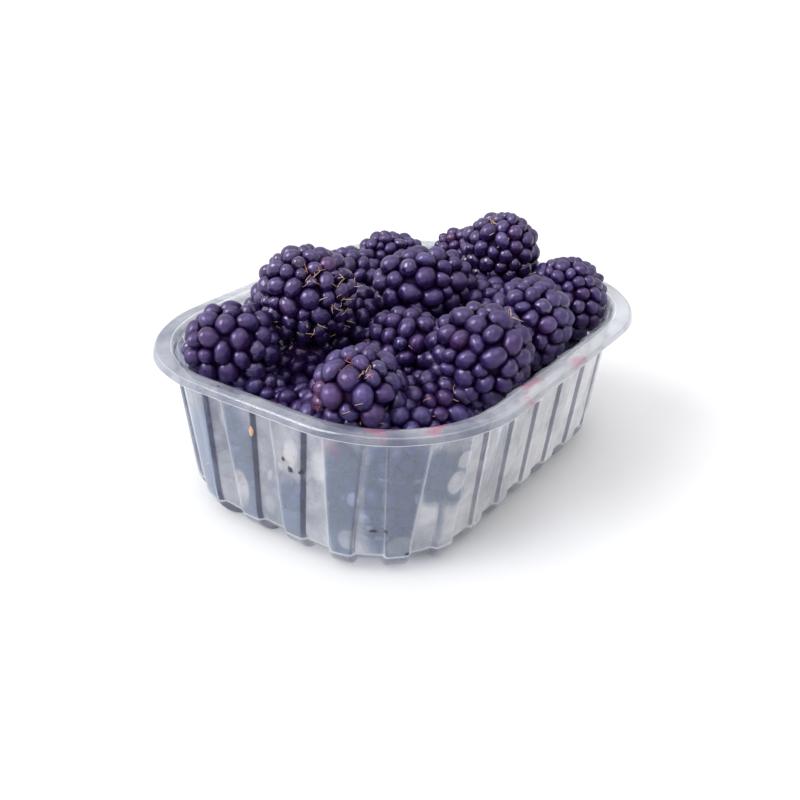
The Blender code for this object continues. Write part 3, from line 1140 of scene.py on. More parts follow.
@dataclass(frozen=True)
class Berry:
    """One berry: an egg of drupelets. Lengths are in millimetres and angles in degrees.

    The tip points to the heading and rise, and is slimmer than the stem end.
    """

    name: str
    middle: Triple
    length: float
    width: float
    heading: float
    rise: float
    drupelet: float = 4.8
    taper: float = 0.16
    # bloom lifts the tone towards slate bloom, and below zero darkens the whole berry: painted shade for
    # berries deep in the heap. Drupelets that face further down than wet_and_shaded_below are wet and dark:
    # wetness, and painted shade on the underside.
    bloom: float = 0.0
    wet_and_shaded_below: float = -1.0
    wetness: float = 0.0
    pressed: float = 0.0
    pressed_top: float = 26.0
    swell: float = 1.17
    growth: Growth = Growth()
    draw: SkinDraw = SkinDraw()

    def turn(self) -> Matrix:
        """Turns a berry that stands on its stem end to the way it lies."""
        return direction(self.heading, self.rise).to_track_quat("Z", "Y").to_matrix()

    def half_sizes(self, sink: float) -> Pair:
        """Half width and half length of the egg this far under the berry's skin, in metres."""
        return (self.width / 2 - sink) * MM, (self.length / 2 - sink) * MM

    def onto_egg(self, points: np.ndarray, half_width: float, half_length: float) -> np.ndarray:
        """Moves points along their own direction onto the egg.

        Args:
            points: Points near the egg, in the berry's own frame.
            half_width: Half of the egg's width.
            half_length: Half of its length.

        Returns:
            The moved points.
        """
        up = points[:, 2] / half_length
        across = half_width * (1.0 - self.taper * np.clip(up, -1.0, 1.0))
        scale = np.stack([points[:, 0] / across, points[:, 1] / across, up], 1)
        unit = scale / np.linalg.norm(scale, axis=1, keepdims=True)
        slim = (1.0 - self.taper * unit[:, 2:3]) * half_width
        return np.concatenate([unit[:, :2] * slim, unit[:, 2:3] * half_length], 1)

    def drupelet_count(self, half_width: float, half_length: float) -> int:
        """How many drupelets cover the egg, from its area.

        Args:
            half_width: Half of the egg's width.
            half_length: Half of its length.

        Returns:
            The number of drupelets.
        """
        power = self.growth.area_power
        total = half_width ** (2 * power) + 2 * (half_width * half_length) ** power
        area = 4 * math.pi * (total / 3) ** (1 / power)
        return max(self.growth.fewest, round(area / (self.growth.room * (self.drupelet * MM) ** 2)))

    def spread(self, rng: np.random.Generator) -> tuple[np.ndarray, np.ndarray]:
        """Places the drupelets: a spiral that is then pushed apart until each has its own uneven room.

        Args:
            rng: Source of the random draws.

        Returns:
            The middles in the berry's own frame, and each drupelet's share of the usual size.
        """
        growth = self.growth
        half_width, half_length = self.half_sizes(self.drupelet / 2 * growth.sink)
        count = self.drupelet_count(half_width, half_length)
        index = np.arange(count)
        up = 1.0 - (2.0 * index + 1.0) / count
        angle = index * math.pi * (3.0 - math.sqrt(5.0)) + rng.uniform(0.0, math.tau)
        level = np.sqrt(1.0 - up * up)
        ball = np.stack([np.cos(angle) * level, np.sin(angle) * level, up], 1)
        points = ball * (half_width, half_width, half_length)
        points += rng.normal(0.0, growth.scatter, points.shape)
        sizes = rng.uniform(*growth.sizes, count)
        want = (sizes[:, None] + sizes[None, :]) * 0.5 * self.drupelet * MM * growth.spacing
        for _ in range(growth.push_rounds):
            gaps = points[:, None, :] - points[None, :, :]
            reach = np.linalg.norm(gaps, axis=2) + np.eye(count)
            push = np.clip(want - reach, 0.0, None) * (1.0 - np.eye(count))
            points = points + growth.push_share * (gaps / reach[:, :, None] * push[:, :, None]).sum(1)
            points = self.onto_egg(points, half_width, half_length)
        return points, sizes

    def reach(
        self, points: np.ndarray, sizes: np.ndarray, at: int, basis: Matrix, stretch: Pair
    ) -> np.ndarray:
        """How far one drupelet goes to each side before it meets its neighbours.

        Args:
            points: Middles of all drupelets.
            sizes: Their shares of the usual size.
            at: Which drupelet.
            basis: Its axes: two along the skin, and one out of it.
            stretch: How much longer it is one way, and which way, in radians.

        Returns:
            The reach at even steps round it, in metres.
        """
        growth = self.growth
        across, along = np.array(basis.col[0]), np.array(basis.col[1])
        gaps = points - points[at]
        distance = np.linalg.norm(gaps, axis=1)
        near = (distance > 0.0) & (distance < self.drupelet * growth.side_near * MM)
        angles = np.arctan2(gaps[near] @ along, gaps[near] @ across)
        share = sizes[at] / (sizes[at] + sizes[near])
        turns = np.arange(growth.side_steps) * math.tau / growth.side_steps
        toward = np.cos(turns[:, None] - angles[None, :])
        limit = distance[near] * share / np.clip(toward, growth.side_slant, None)
        widest = self.drupelet * MM * (growth.side_least + growth.side_for_size * sizes[at])
        own = np.full((growth.side_steps, 1), widest)
        every = np.concatenate([limit, own], 1)
        long = 1.0 + stretch[0] * np.cos(2.0 * (turns - stretch[1]))
        return (every**-growth.side_power).sum(1) ** (-1.0 / growth.side_power) * self.swell * long

    def drupelets(self, rng: np.random.Generator, accents: tuple[Accent, ...]) -> list[Drupelet]:
        """Works out every drupelet of the berry.

        Args:
            rng: Source of the random draws.
            accents: The odd drupelets of all berries.

        Returns:
            The drupelets, in place.
        """
        growth = self.growth
        points, sizes = self.spread(rng)
        turn = self.turn()
        middle = Vector(self.middle) * MM
        half_width, half_length = self.half_sizes(0.0)
        halves = (half_width, half_width, half_length)
        looks = self.looks(rng, points, accents)
        made = []
        for i, point in enumerate(points):
            away = Vector([part / half**2 for part, half in zip(point, halves)]).normalized()
            away = (away + Vector(rng.normal(0.0, growth.tilt, 3))).normalized()
            basis = away.to_track_quat("Z", "Y").to_matrix()
            stretch = (rng.uniform(0.0, growth.stretch), rng.uniform(0.0, math.pi))
            reach = self.reach(points, sizes, i, basis, stretch)
            height = self.drupelet / 2 * MM * (growth.height_least + growth.height_for_size * sizes[i])
            height *= rng.uniform(*growth.height_draw)
            sunk = rng.normal(0.0, growth.sunk) * MM
            place = middle + turn @ (Vector(point) - away * sunk)
            placed = Matrix.Translation(place) @ (turn @ basis).to_4x4()
            lean = tuple(rng.normal(0.0, growth.lean, 2))
            made.append(Drupelet(placed, reach, height, lean, *looks[i]))
        return made

    def looks(
        self, rng: np.random.Generator, points: np.ndarray, accents: tuple[Accent, ...]
    ) -> list[Triple]:
        """Draws the tone, blush and wetness of every drupelet.

        Args:
            rng: Source of the random draws.
            points: Their middles in the berry's own frame.
            accents: The odd drupelets of all berries.

        Returns:
            Tone, blush and wetness of each.
        """
        draw, count = self.draw, len(points)
        turn, middle = self.turn(), Vector(self.middle) * MM
        tones = np.clip(rng.normal(draw.tone + self.bloom, draw.tone_spread, count), *draw.tone_range)
        blushes = draw.blush * np.clip(rng.normal(0.0, 1.0, count) - draw.blush_over, 0.0, None)
        drops = rng.uniform(size=count) < draw.wet_share
        wets = np.where(drops, draw.wet, rng.uniform(0.0, draw.damp, count) + self.wetness)
        lying = np.array([turn @ Vector(point) for point in points])
        far = np.linalg.norm(points, axis=1)
        outward = lying[:, :2] @ np.array(middle.xy.normalized()) / far
        flat = (outward > draw.pressed_out) & (middle.z + lying[:, 2] < self.pressed_top * MM)
        tones = np.where(flat & (rng.uniform(size=count) < self.pressed), draw.pressed_tone, tones)
        # Drupelets on the underside get full wetness and a dark tone, which is painted shade.
        below = lying[:, 2] / far < self.wet_and_shaded_below
        tones = np.where(below, draw.underside_shade_tone, tones)
        wets = np.where(below, draw.below_wet, wets)
        looks = list(zip(tones.tolist(), blushes.tolist(), wets.tolist()))
        for accent in accents:
            if accent.berry == self.name:
                aim = turn.transposed() @ direction(accent.heading, accent.rise)
                at = int(np.argmax((points / far[:, None]) @ np.array(aim)))
                looks[at] = accent.look.value
        return looks

    def heart(self, bm: bmesh.types.BMesh) -> None:
        """Adds the egg of flesh that the drupelets sit on.

        Args:
            bm: The mesh that it is added to.
        """
        half_width, half_length = self.half_sizes(self.drupelet * self.growth.heart_sink)
        ball = bmesh.ops.create_icosphere(bm, subdivisions=BALL_CUTS, radius=1.0)["verts"]
        turn = self.turn()
        for vert in ball:
            slim = (1.0 - self.taper * vert.co.z) * half_width
            point = Vector((vert.co.x * slim, vert.co.y * slim, vert.co.z * half_length))
            vert.co = turn @ point + Vector(self.middle) * MM


@dataclass(frozen=True)
class WallRow:
    """Level row of berries against the wall: height, how many, and where it starts, in berries."""

    height: float
    count: int
    start: float


@dataclass(frozen=True)
class Group:
    """Berries that are one piece: its name, the seed of the first one, and its levels of subdivision."""

    name: str
    berries: tuple[Berry, ...]
    first_seed: int
    rounding: int


@dataclass
class Heap:
    """The berries: the ones that show on top, the ones between them, and the rows against the wall."""

    punnet: Punnet
    rows: tuple[WallRow, ...] = (WallRow(28.5 * MM, 11, 0.35), WallRow(14.2 * MM, 10, 0.05))
    row_length: Pair = (23.0 * MM, 25.5 * MM)
    row_width: Pair = (20.5 * MM, 22.5 * MM)
    row_gap: float = 0.5 * MM
    row_jitter: float = 1.2 * MM
    row_bloom: float = 0.5
    row_pressed: float = 0.45
    heading_spread: float = 25.0
    rise_spread: float = 20.0
    core_half: Pair = (30.0 * MM, 18.0 * MM)
    core_span: Pair = (12.0 * MM, 32.0 * MM)
    core_corner: float = 12.0 * MM
    core_edge: float = 5.0 * MM
    core_sharp: float = 60.0
    core_segments: tuple[int, int] = (4, 3)
    mould_floor: float = -0.3
    seed: int = 7

    def wall_face(self, height: float) -> Outline:
        """Outline of the wall's inner face between the flutes.

        Args:
            height: Height above the feet.

        Returns:
            The outline.
        """
        tray = self.punnet
        top = tray.rim_height - tray.wall_top_drop
        share = min(max((top - height) / (top - tray.wall_foot_height), 0.0), 1.0)
        return tray.wall(share, tray.flute_depth + tray.sheet)

    def wall_berries(self) -> tuple[Berry, ...]:
        """Berries side by side against the wall, in level rows.

        Returns:
            The berries, as the CAD heap has them.
        """
        rng = random.Random(self.seed)
        berries = []
        for row in self.rows:
            face = self.wall_face(row.height - self.row_width[1] / 2)
            around = 4 * face.quarter()
            for i in range(row.count):
                length = rng.uniform(*self.row_length)
                width = rng.uniform(*self.row_width)
                point, away = face.at((i + row.start) / row.count * around)
                inward = width / 2 + self.row_gap + rng.uniform(0.0, self.row_jitter)
                middle = Vector((point.x, point.y, row.height + rng.uniform(0.0, self.row_jitter)))
                middle -= Vector((away.x, away.y, 0.0)) * inward
                along_wall = math.degrees(math.atan2(away.y, away.x)) + 90.0
                heading = along_wall + rng.uniform(-self.heading_spread, self.heading_spread)
                rise = rng.uniform(-self.rise_spread, self.rise_spread)
                place = (tuple(middle / MM), length / MM, width / MM, heading, rise)
                look = {"bloom": self.row_bloom, "pressed": self.row_pressed}
                berries.append(Berry(f"wall_{len(berries):02d}", *place, **look))
        return tuple(berries)

    def mould(self) -> bpy.types.Mesh:
        """Makes the closed dome that every drupelet is cast from.

        Returns:
            A ball of radius 1 with its inner part cut off flat. Each point carries its height, from 0 to 1.
        """
        bm = bmesh.new()
        crown = bm.verts.layers.float.new(Field.CROWN.value)
        bmesh.ops.create_icosphere(bm, subdivisions=BALL_CUTS, radius=1.0)
        geom = list(bm.verts) + list(bm.edges) + list(bm.faces)
        plane = {"plane_co": (0.0, 0.0, self.mould_floor), "plane_no": (0.0, 0.0, 1.0)}
        cut = bmesh.ops.bisect_plane(bm, geom=geom, clear_inner=True, **plane)
        rim = [item for item in cut["geom_cut"] if isinstance(item, bmesh.types.BMEdge)]
        bmesh.ops.edgeloop_fill(bm, edges=rim)
        bmesh.ops.recalc_face_normals(bm, faces=bm.faces)
        for vert in bm.verts:
            vert[crown] = max(vert.co.z, 0.0)
        mesh = bpy.data.meshes.new("drupelet_mould")
        bm.to_mesh(mesh)
        bm.free()
        return mesh

    @staticmethod
    def cast(
        berry: Berry, mould: bpy.types.Mesh, seed: int, accents: tuple[Accent, ...]
    ) -> bpy.types.Mesh:
        """Makes all drupelets of one berry.

        Args:
            berry: The berry.
            mould: The dome to cast from.
            seed: Seed of the berry's random draws.
            accents: The odd drupelets.

        Returns:
            The berry's mesh, in place.
        """
        bm = bmesh.new()
        layers = bm.verts.layers.float
        for name in (Field.CROWN, Field.TONE, Field.BLUSH, Field.WET):
            layers.new(name.value)
        for drupelet in berry.drupelets(np.random.default_rng(seed), accents):
            before = len(bm.verts)
            bm.from_mesh(mould)
            bm.verts.ensure_lookup_table()
            for vert in bm.verts[before:]:
                vert.co = drupelet.place(vert.co)
                vert[layers[Field.TONE.value]] = drupelet.tone
                vert[layers[Field.BLUSH.value]] = drupelet.blush
                vert[layers[Field.WET.value]] = drupelet.wet
        mesh = bpy.data.meshes.new(berry.name)
        bm.to_mesh(mesh)
        bm.free()
        return mesh

    def build_group(
        self, group: Group, finish: bpy.types.Material, accents: tuple[Accent, ...]
    ) -> bpy.types.Object:
        """Makes a group of berries as one piece.

        Args:
            group: The group.
            finish: The skin.
            accents: The odd drupelets.

        Returns:
            The piece.
        """
        mould = self.mould()
        bm = bmesh.new()
        for i, berry in enumerate(group.berries):
            mesh = self.cast(berry, mould, group.first_seed + i, accents)
            bm.from_mesh(mesh)
            bpy.data.meshes.remove(mesh)
        bpy.data.meshes.remove(mould)
        piece = finish_object(group.name, bm, finish)
        if group.rounding:
            add_subdivision(piece, group.rounding)
        return self.ride(piece)

    @staticmethod
    def ride(piece: bpy.types.Object) -> bpy.types.Object:
        """Puts a piece on the body in place of the CAD berries.

        Args:
            piece: The piece.

        Returns:
            The same piece.
        """
        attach(piece, BODY)
        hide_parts("berries")
        return piece

    def build_core(self, berries: tuple[Berry, ...], finish: bpy.types.Material) -> bpy.types.Object:
        """Makes the flesh under the drupelets and the block of fruit inside the heap, both near-black as
        painted shade between the berries.

        Args:
            berries: All berries.
            finish: The flesh.

        Returns:
            The piece.
        """
        bm = bmesh.new()
        low, high = self.core_span
        block = bmesh.ops.create_cube(bm, size=1.0)["verts"]
        bmesh.ops.scale(bm, vec=(2 * self.core_half[0], 2 * self.core_half[1], high - low), verts=block)
        bmesh.ops.translate(bm, vec=(0.0, 0.0, (low + high) / 2), verts=block)
        bevel = {"affect": "EDGES", "profile": 0.5, "material": -1}
        corner_cuts, edge_cuts = self.core_segments
        upright = [e for e in bm.edges if abs((e.verts[0].co - e.verts[1].co).z) > MM]
        bmesh.ops.bevel(bm, geom=upright, offset=self.core_corner, segments=corner_cuts, **bevel)
        sharp = [e for e in bm.edges if e.calc_face_angle() > math.radians(self.core_sharp)]
        bmesh.ops.bevel(bm, geom=sharp, offset=self.core_edge, segments=edge_cuts, **bevel)
        for berry in berries:
            berry.heart(bm)
        return self.ride(finish_object("berry_core", bm, finish))


@dataclass(frozen=True)
class Tuft:
    """Scattered hairs round a direction on a berry."""

    berry: str
    heading: float
    rise: float
    spread: float
    count: int
    colour: Hair


@dataclass
class DriedStyles:
    """The fine dry hairs between and on the drupelets. The curl is in radians from root to tip."""

    tufts: tuple[Tuft, ...]
    length: Pair = (1.2 * MM, 3.0 * MM)
    radius: float = 0.095 * MM
    taper: float = 0.45
    curl: float = 2.4
    sides: int = 4
    cuts: int = 3
    sink: float = 0.7
    rise_share: float = 0.6
    upright: float = 0.45
    steepest: float = 60.0
    tint_spread: float = 0.2
    seed: int = 41

    def hair(
        self, bm: bmesh.types.BMesh, root: Vector, aim: Vector, length: float, curl: float, tint: float
    ) -> None:
        """Adds one curled, tapering hair.

        Args:
            bm: The mesh.
            root: Where it starts.
            aim: The way it points.
            length: How long it is.
            curl: How far it curls from root to tip, in radians.
            tint: The tint that it carries.
        """
        before = len(bm.verts)
        radii = {"radius1": self.radius, "radius2": self.radius * self.taper}
        up = Matrix.Translation((0.0, 0.0, length / 2))
        bmesh.ops.create_cone(bm, cap_ends=True, segments=self.sides, depth=length, matrix=up, **radii)
        bm.verts.ensure_lookup_table()
        fresh = set(bm.verts[before:])
        own = [e for e in bm.edges if e.verts[0] in fresh]
        long = [e for e in own if abs(e.verts[0].co.z - e.verts[1].co.z) > length / 2]
        bmesh.ops.subdivide_edges(bm, edges=long, cuts=self.cuts)
        bm.verts.ensure_lookup_table()
        place = Matrix.Translation(root) @ aim.to_track_quat("Z", "Y").to_matrix().to_4x4()
        layer = bm.verts.layers.float[Field.TINT.value]
        for vert in bm.verts[before:]:
            lean = curl * vert.co.z / length / 2
            spine = Vector((math.sin(lean), 0.0, math.cos(lean))) * vert.co.z
            vert.co = place @ (Vector((vert.co.x, vert.co.y, 0.0)) + spine)
            vert[layer] = tint

    def build(self, berries: dict[str, Berry], finish: bpy.types.Material) -> bpy.types.Object:
        """Makes every hair as one piece.

        Args:
            berries: The berries by name.
            finish: The hairs' finish.

        Returns:
            The piece.
        """
        rng = random.Random(self.seed)
        bm = bmesh.new()
        bm.verts.layers.float.new(Field.TINT.value)
        for tuft in self.tufts:
            berry = berries[tuft.berry]
            turn = berry.turn()
            half_width, half_length = berry.half_sizes(self.sink)
            for _ in range(tuft.count):
                heading = tuft.heading + rng.gauss(0.0, tuft.spread)
                rise = tuft.rise + rng.gauss(0.0, tuft.spread * self.rise_share)
                aim = direction(heading, rise)
                local = np.array([turn.transposed() @ aim])
                point = berry.onto_egg(local, half_width, half_length)[0]
                root = Vector(berry.middle) * MM + turn @ Vector(point)
                anywhere = direction(rng.uniform(0, 360), rng.uniform(-self.steepest, self.steepest))
                lean = (aim * self.upright + anywhere).normalized()
                tint = min(max(tuft.colour + rng.uniform(-self.tint_spread, self.tint_spread), 0.0), 1.0)
                length = rng.uniform(*self.length)
                self.hair(bm, root, lean, length, rng.uniform(-1, 1) * self.curl, tint)
        bmesh.ops.recalc_face_normals(bm, faces=bm.faces)
        piece = finish_object("dried_styles", bm, finish)
        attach(piece, BODY)
        return piece


@dataclass
class Splashes:
    """The dark specks and the amber fleck on the plastic."""

    specks: tuple[Speck, ...]
    thickness: float = 0.16 * MM
    unevenness: float = 0.22
    seed: int = 5

    def build(self, tray: bpy.types.Object, finish: bpy.types.Material) -> bpy.types.Object:
        """Makes every speck as one piece, flat on the tray.

        Args:
            tray: The tray that they lie on.
            finish: The specks' finish.

        Returns:
            The piece.
        """
        rng = random.Random(self.seed)
        bm = bmesh.new()
        layer = bm.verts.layers.float.new(Field.TINT.value)
        surface = tray.evaluated_get(bpy.context.evaluated_depsgraph_get())
        for speck in self.specks:
            outside = Vector(speck.place) * MM
            _, place, _, _ = surface.closest_point_on_mesh(outside)
            # At a bend two faces are equally near, so the way out comes from the points, not from a face.
            away = (outside - place).normalized()
            turn = Matrix.Translation(place) @ away.to_track_quat("Z", "Y").to_matrix().to_4x4()
            ball = bmesh.ops.create_icosphere(bm, subdivisions=BALL_CUTS, radius=1.0)["verts"]
            for vert in ball:
                vert[layer] = speck.amber
                uneven = 1.0 + rng.uniform(-self.unevenness, self.unevenness)
                size = Vector((speck.width * MM, speck.height * MM, self.thickness)) * uneven
                vert.co = turn @ (vert.co * size)
        piece = finish_object("specks", bm, finish)
        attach(piece, BODY)
        return piece


@dataclass(frozen=True)
class SoftLight:
    """Soft light that is the same all over the floor: where it stands and how wide it looks, in degrees.

    The heading is counted from the camera's, and the radiance is how bright its face is.
    """

    name: str
    heading: float
    rise: float
    spread: float
    radiance: float

    def build(self, camera_heading: float) -> None:
        """Makes the light.

        Args:
            camera_heading: Side that the camera stands on, in degrees from +X towards +Y.
        """
        data = bpy.data.lights.new(self.name, "SUN")
        data.angle = math.radians(self.spread)
        data.energy = self.radiance * math.pi * math.sin(data.angle / 2) ** 2
        light = bpy.data.objects.new(self.name, data)
        aim = direction(camera_heading + self.heading, self.rise)
        light.matrix_world = aim.to_track_quat("Z", "Y").to_matrix().to_4x4()
        bpy.context.scene.collection.objects.link(light)


@dataclass
class Studio:
    """Pale floor, soft light and the camera at the photo's angle."""

    target: Triple = (0.0, 0.0, 21.24 * MM)
    azimuth: float = -54.443
    elevation: float = 26.912
    distance: float = 262.1 * MM
    lens: float = 43.41
    shift: Pair = (-0.0029, -0.0188)
    nearest: float = 1.0 * MM
    lights: tuple[SoftLight, ...] = (
        SoftLight("key_light", -72.0, 42.0, 32.0, 9.0),
        SoftLight("top_light", 20.0, 70.0, 50.0, 1.3),
    )
    room_light: Pair = (0.68, 1.36)
    room_side: Pair = (-85.0, 30.0)
    backdrop_light: float = 1.15
    floor_size: float = 12.0
    floor_cuts: int = 4
    floor_tones: tuple[Colour, Colour] = (srgb(211, 211, 213), srgb(215, 215, 216))
    floor_scale: float = 3.0
    floor_roughness: float = 0.8
    floor_gloss: float = 0.2

    @property
    def camera_heading(self) -> float:
        """Side that the camera stands on, in degrees from +X towards +Y."""
        return self.azimuth - 90.0

    def build_camera(self) -> None:
        """Makes the camera and gives it to the scene."""
        back = direction(self.camera_heading, self.elevation)
        right = direction(self.azimuth, 0.0)
        axes = Matrix((right, back.cross(right), back)).transposed().to_4x4()
        data = bpy.data.cameras.new("camera")
        data.lens = self.lens
        data.shift_x, data.shift_y = self.shift
        data.clip_start = self.nearest
        camera = bpy.data.objects.new("camera", data)
        camera.matrix_world = Matrix.Translation(Vector(self.target) + back * self.distance) @ axes
        bpy.context.scene.collection.objects.link(camera)
        bpy.context.scene.camera = camera

    def build_lights(self) -> None:
        """Makes the soft lights and the light of the room, which is brighter on one side."""
        for light in self.lights:
            light.build(self.camera_heading)
        world = bpy.data.worlds.new("studio")
        world.use_nodes = True
        nodes, links = world.node_tree.nodes, world.node_tree.links
        side, height = self.room_side
        toward = nodes.new("ShaderNodeVectorMath")
        toward.operation = "DOT_PRODUCT"
        links.new(nodes.new("ShaderNodeTexCoord").outputs["Generated"], toward.inputs[0])
        toward.inputs[1].default_value = direction(self.camera_heading + side, height)
        strength = nodes.new("ShaderNodeMapRange")
        links.new(toward.outputs["Value"], strength.inputs[0])
        for socket, value in zip(strength.inputs[1:5], (-1.0, 1.0, *self.room_light)):
            socket.default_value = value
        shown = nodes.new("ShaderNodeMix")
        links.new(nodes.new("ShaderNodeLightPath").outputs["Is Camera Ray"], shown.inputs[0])
        links.new(strength.outputs[0], shown.inputs[2])
        shown.inputs[3].default_value = self.backdrop_light
        links.new(shown.outputs[0], nodes["Background"].inputs["Strength"])
        nodes["Background"].inputs["Color"].default_value = WHITE
        bpy.context.scene.world = world
        bpy.context.scene.view_settings.view_transform = "Standard"

    def build_floor(self) -> bpy.types.Object:
        """Makes the plain pale floor.

        Returns:
            The floor.
        """
        bm = bmesh.new()
        cuts = {"x_segments": self.floor_cuts, "y_segments": self.floor_cuts}
        bmesh.ops.create_grid(bm, size=self.floor_size / 2, **cuts)
        sheet = NodeSheet("pale_floor")
        inputs = {
            "Base Color": sheet.blend(sheet.noise(self.floor_scale), *self.floor_tones),
            "Roughness": self.floor_roughness,
            "Specular IOR Level": self.floor_gloss,
        }
        paper = sheet.add("ShaderNodeBsdfPrincipled", inputs)
        floor = finish_object("floor", bm, sheet.close(paper.outputs[0]))
        return floor


TOP_BERRIES = (
    Berry("left", (-41.6, 21.6, 42.2), 25.0, 23.5, 160.0, 15.0, 5.2),
    Berry("front", (-40.6, -16.8, 41.2), 25.0, 22.6, 215.0, 20.0, 5.5, bloom=0.3),
    Berry("right_front", (-12.6, -32.0, 43.8), 27.5, 26.0, 250.0, 30.0, 5.3),
    Berry("right_back", (12.0, -31.0, 44.0), 27.0, 23.0, 20.0, 10.0, 4.8, bloom=0.15),
    Berry("far_right", (36.7, -28.9, 41.7), 27.2, 23.2, 8.0, 5.0, 4.3),
    Berry("top_right", (39.0, -6.5, 50.0), 23.5, 23.5, 240.0, 50.0, 4.5, wet_and_shaded_below=-0.05, wetness=0.2),
    Berry("behind_top_right", (45.0, 9.5, 43.5), 20.0, 18.0, 100.0, 20.0, 4.2),
    Berry("middle", (9.5, -0.5, 47.5), 30.0, 21.5, 325.0, 5.0, 5.4),
    Berry("top_left", (-20.0, 14.2, 51.0), 25.5, 26.0, 300.0, 20.0, 4.7, bloom=-0.1, wetness=0.3),
    Berry("back_left", (13.0, 28.0, 40.5), 25.0, 22.0, 30.0, 15.0, 4.6),
    Berry("back", (34.5, 28.6, 39.5), 24.0, 21.5, 320.0, 10.0, 4.0),
    Berry("hollow", (-9.0, -8.0, 38.0), 25.0, 22.0, 280.0, 25.0, 4.8),
    Berry("low_front", (-25.0, -26.5, 32.5), 24.0, 21.0, 330.0, 20.0, 5.0),
    Berry("back_corner", (-9.5, 32.2, 39.5), 24.0, 21.0, 10.0, 10.0, 4.7),
    # low_left's bloom below zero darkens it: painted shade deep in the heap.
    Berry("low_left", (-40.0, 2.5, 26.0), 24.0, 21.0, 190.0, 20.0, 5.2, bloom=-0.8),
)

MIDDLE_BERRIES = (
    Berry("filler_0", (21.5, 10.5, 36.0), 24.0, 21.0, 60.0, 0.0),
    Berry("filler_1", (22.5, -11.5, 37.0), 25.0, 22.0, 200.0, 10.0),
    # filler_2's bloom below zero darkens it: painted shade deep in the heap.
    Berry("filler_2", (-23.5, -6.0, 29.5), 24.0, 21.0, 120.0, 0.0, bloom=-1.2),
    Berry("filler_3", (-1.5, 16.0, 36.5), 25.0, 22.0, 10.0, 10.0),
    # filler_4's bloom below zero darkens it: painted shade deep in the heap.
    Berry("filler_4", (-25.0, 13.5, 29.0), 24.0, 21.0, 40.0, 0.0, bloom=-1.4),
    Berry("filler_5", (3.0, -21.0, 32.0), 24.0, 21.0, 170.0, 0.0),
    Berry("bottom_0", (-25.0, -2.0, 13.5), 25.0, 20.5, 100.0, 0.0),
    Berry("bottom_1", (-6.0, 8.5, 13.5), 25.0, 20.5, 20.0, 5.0),
    Berry("bottom_2", (-3.0, -11.0, 13.5), 25.0, 20.5, 160.0, 0.0),
    Berry("bottom_3", (18.0, -4.0, 13.5), 25.0, 20.5, 70.0, -5.0),
)

ACCENTS = (
    Accent("top_left", -174.0, 63.0, Look.WET),
    Accent("top_left", -92.0, 64.0, Look.BROWN),
    Accent("front", -163.0, 21.0, Look.BLUSH),
    Accent("front", -133.0, 22.0, Look.SLATE),
    Accent("front", 154.0, 4.0, Look.RED),
    Accent("front", 160.0, -12.0, Look.RED),
    Accent("front", -138.0, -8.0, Look.BLUSH),
    Accent("top_right", -150.0, -9.0, Look.WET),
    Accent("top_right", -165.0, -15.0, Look.WET),
    Accent("top_right", -130.0, -12.0, Look.WET),
    Accent("behind_top_right", 158.0, 45.0, Look.RED),
)

TUFTS = (
    Tuft("top_left", -130.0, 42.0, 14.0, 12, Hair.ORANGE),
    Tuft("top_left", -105.0, 15.0, 26.0, 22, Hair.STRAW),
    Tuft("top_left", -120.0, -22.0, 22.0, 12, Hair.STRAW),
    Tuft("top_left", -165.0, -24.0, 18.0, 8, Hair.STRAW),
    Tuft("front", -126.0, 47.0, 3.5, 9, Hair.ORANGE),
    Tuft("front", -166.0, 61.0, 14.0, 8, Hair.RED),
    Tuft("front", 154.0, 4.0, 12.0, 9, Hair.RED),
    Tuft("front", -138.0, -8.0, 16.0, 6, Hair.ORANGE),
    Tuft("right_front", -74.0, 57.0, 3.5, 7, Hair.STRAW),
    Tuft("top_right", -177.0, 62.0, 5.0, 7, Hair.STRAW),
    Tuft("top_right", -152.0, 37.0, 12.0, 4, Hair.STRAW),
    Tuft("low_front", -120.0, 40.0, 30.0, 6, Hair.ORANGE),
    Tuft("hollow", -150.0, 30.0, 30.0, 6, Hair.ORANGE),
)

SPECKS = (
    Speck((-56.0, 19.2, 37.5), 0.45, 0.4),
    Speck((-57.0, 10.2, 42.0), 0.5, 0.3),
    Speck((-56.5, -8.2, 24.9), 0.85, 0.7),
    Speck((-56.5, -6.3, 27.1), 0.45, 0.55),
    Speck((-56.0, -12.6, 25.1), 0.6, 0.55),
    Speck((-51.6, -28.6, 12.8), 0.9, 0.5),
    Speck((-51.0, -29.6, 13.4), 0.6, 0.45),
    Speck((-45.9, -34.7, 6.2), 0.6, 0.4),
    Speck((-56.0, 2.4, 31.0), 0.6, 1.4, 1.0),
)

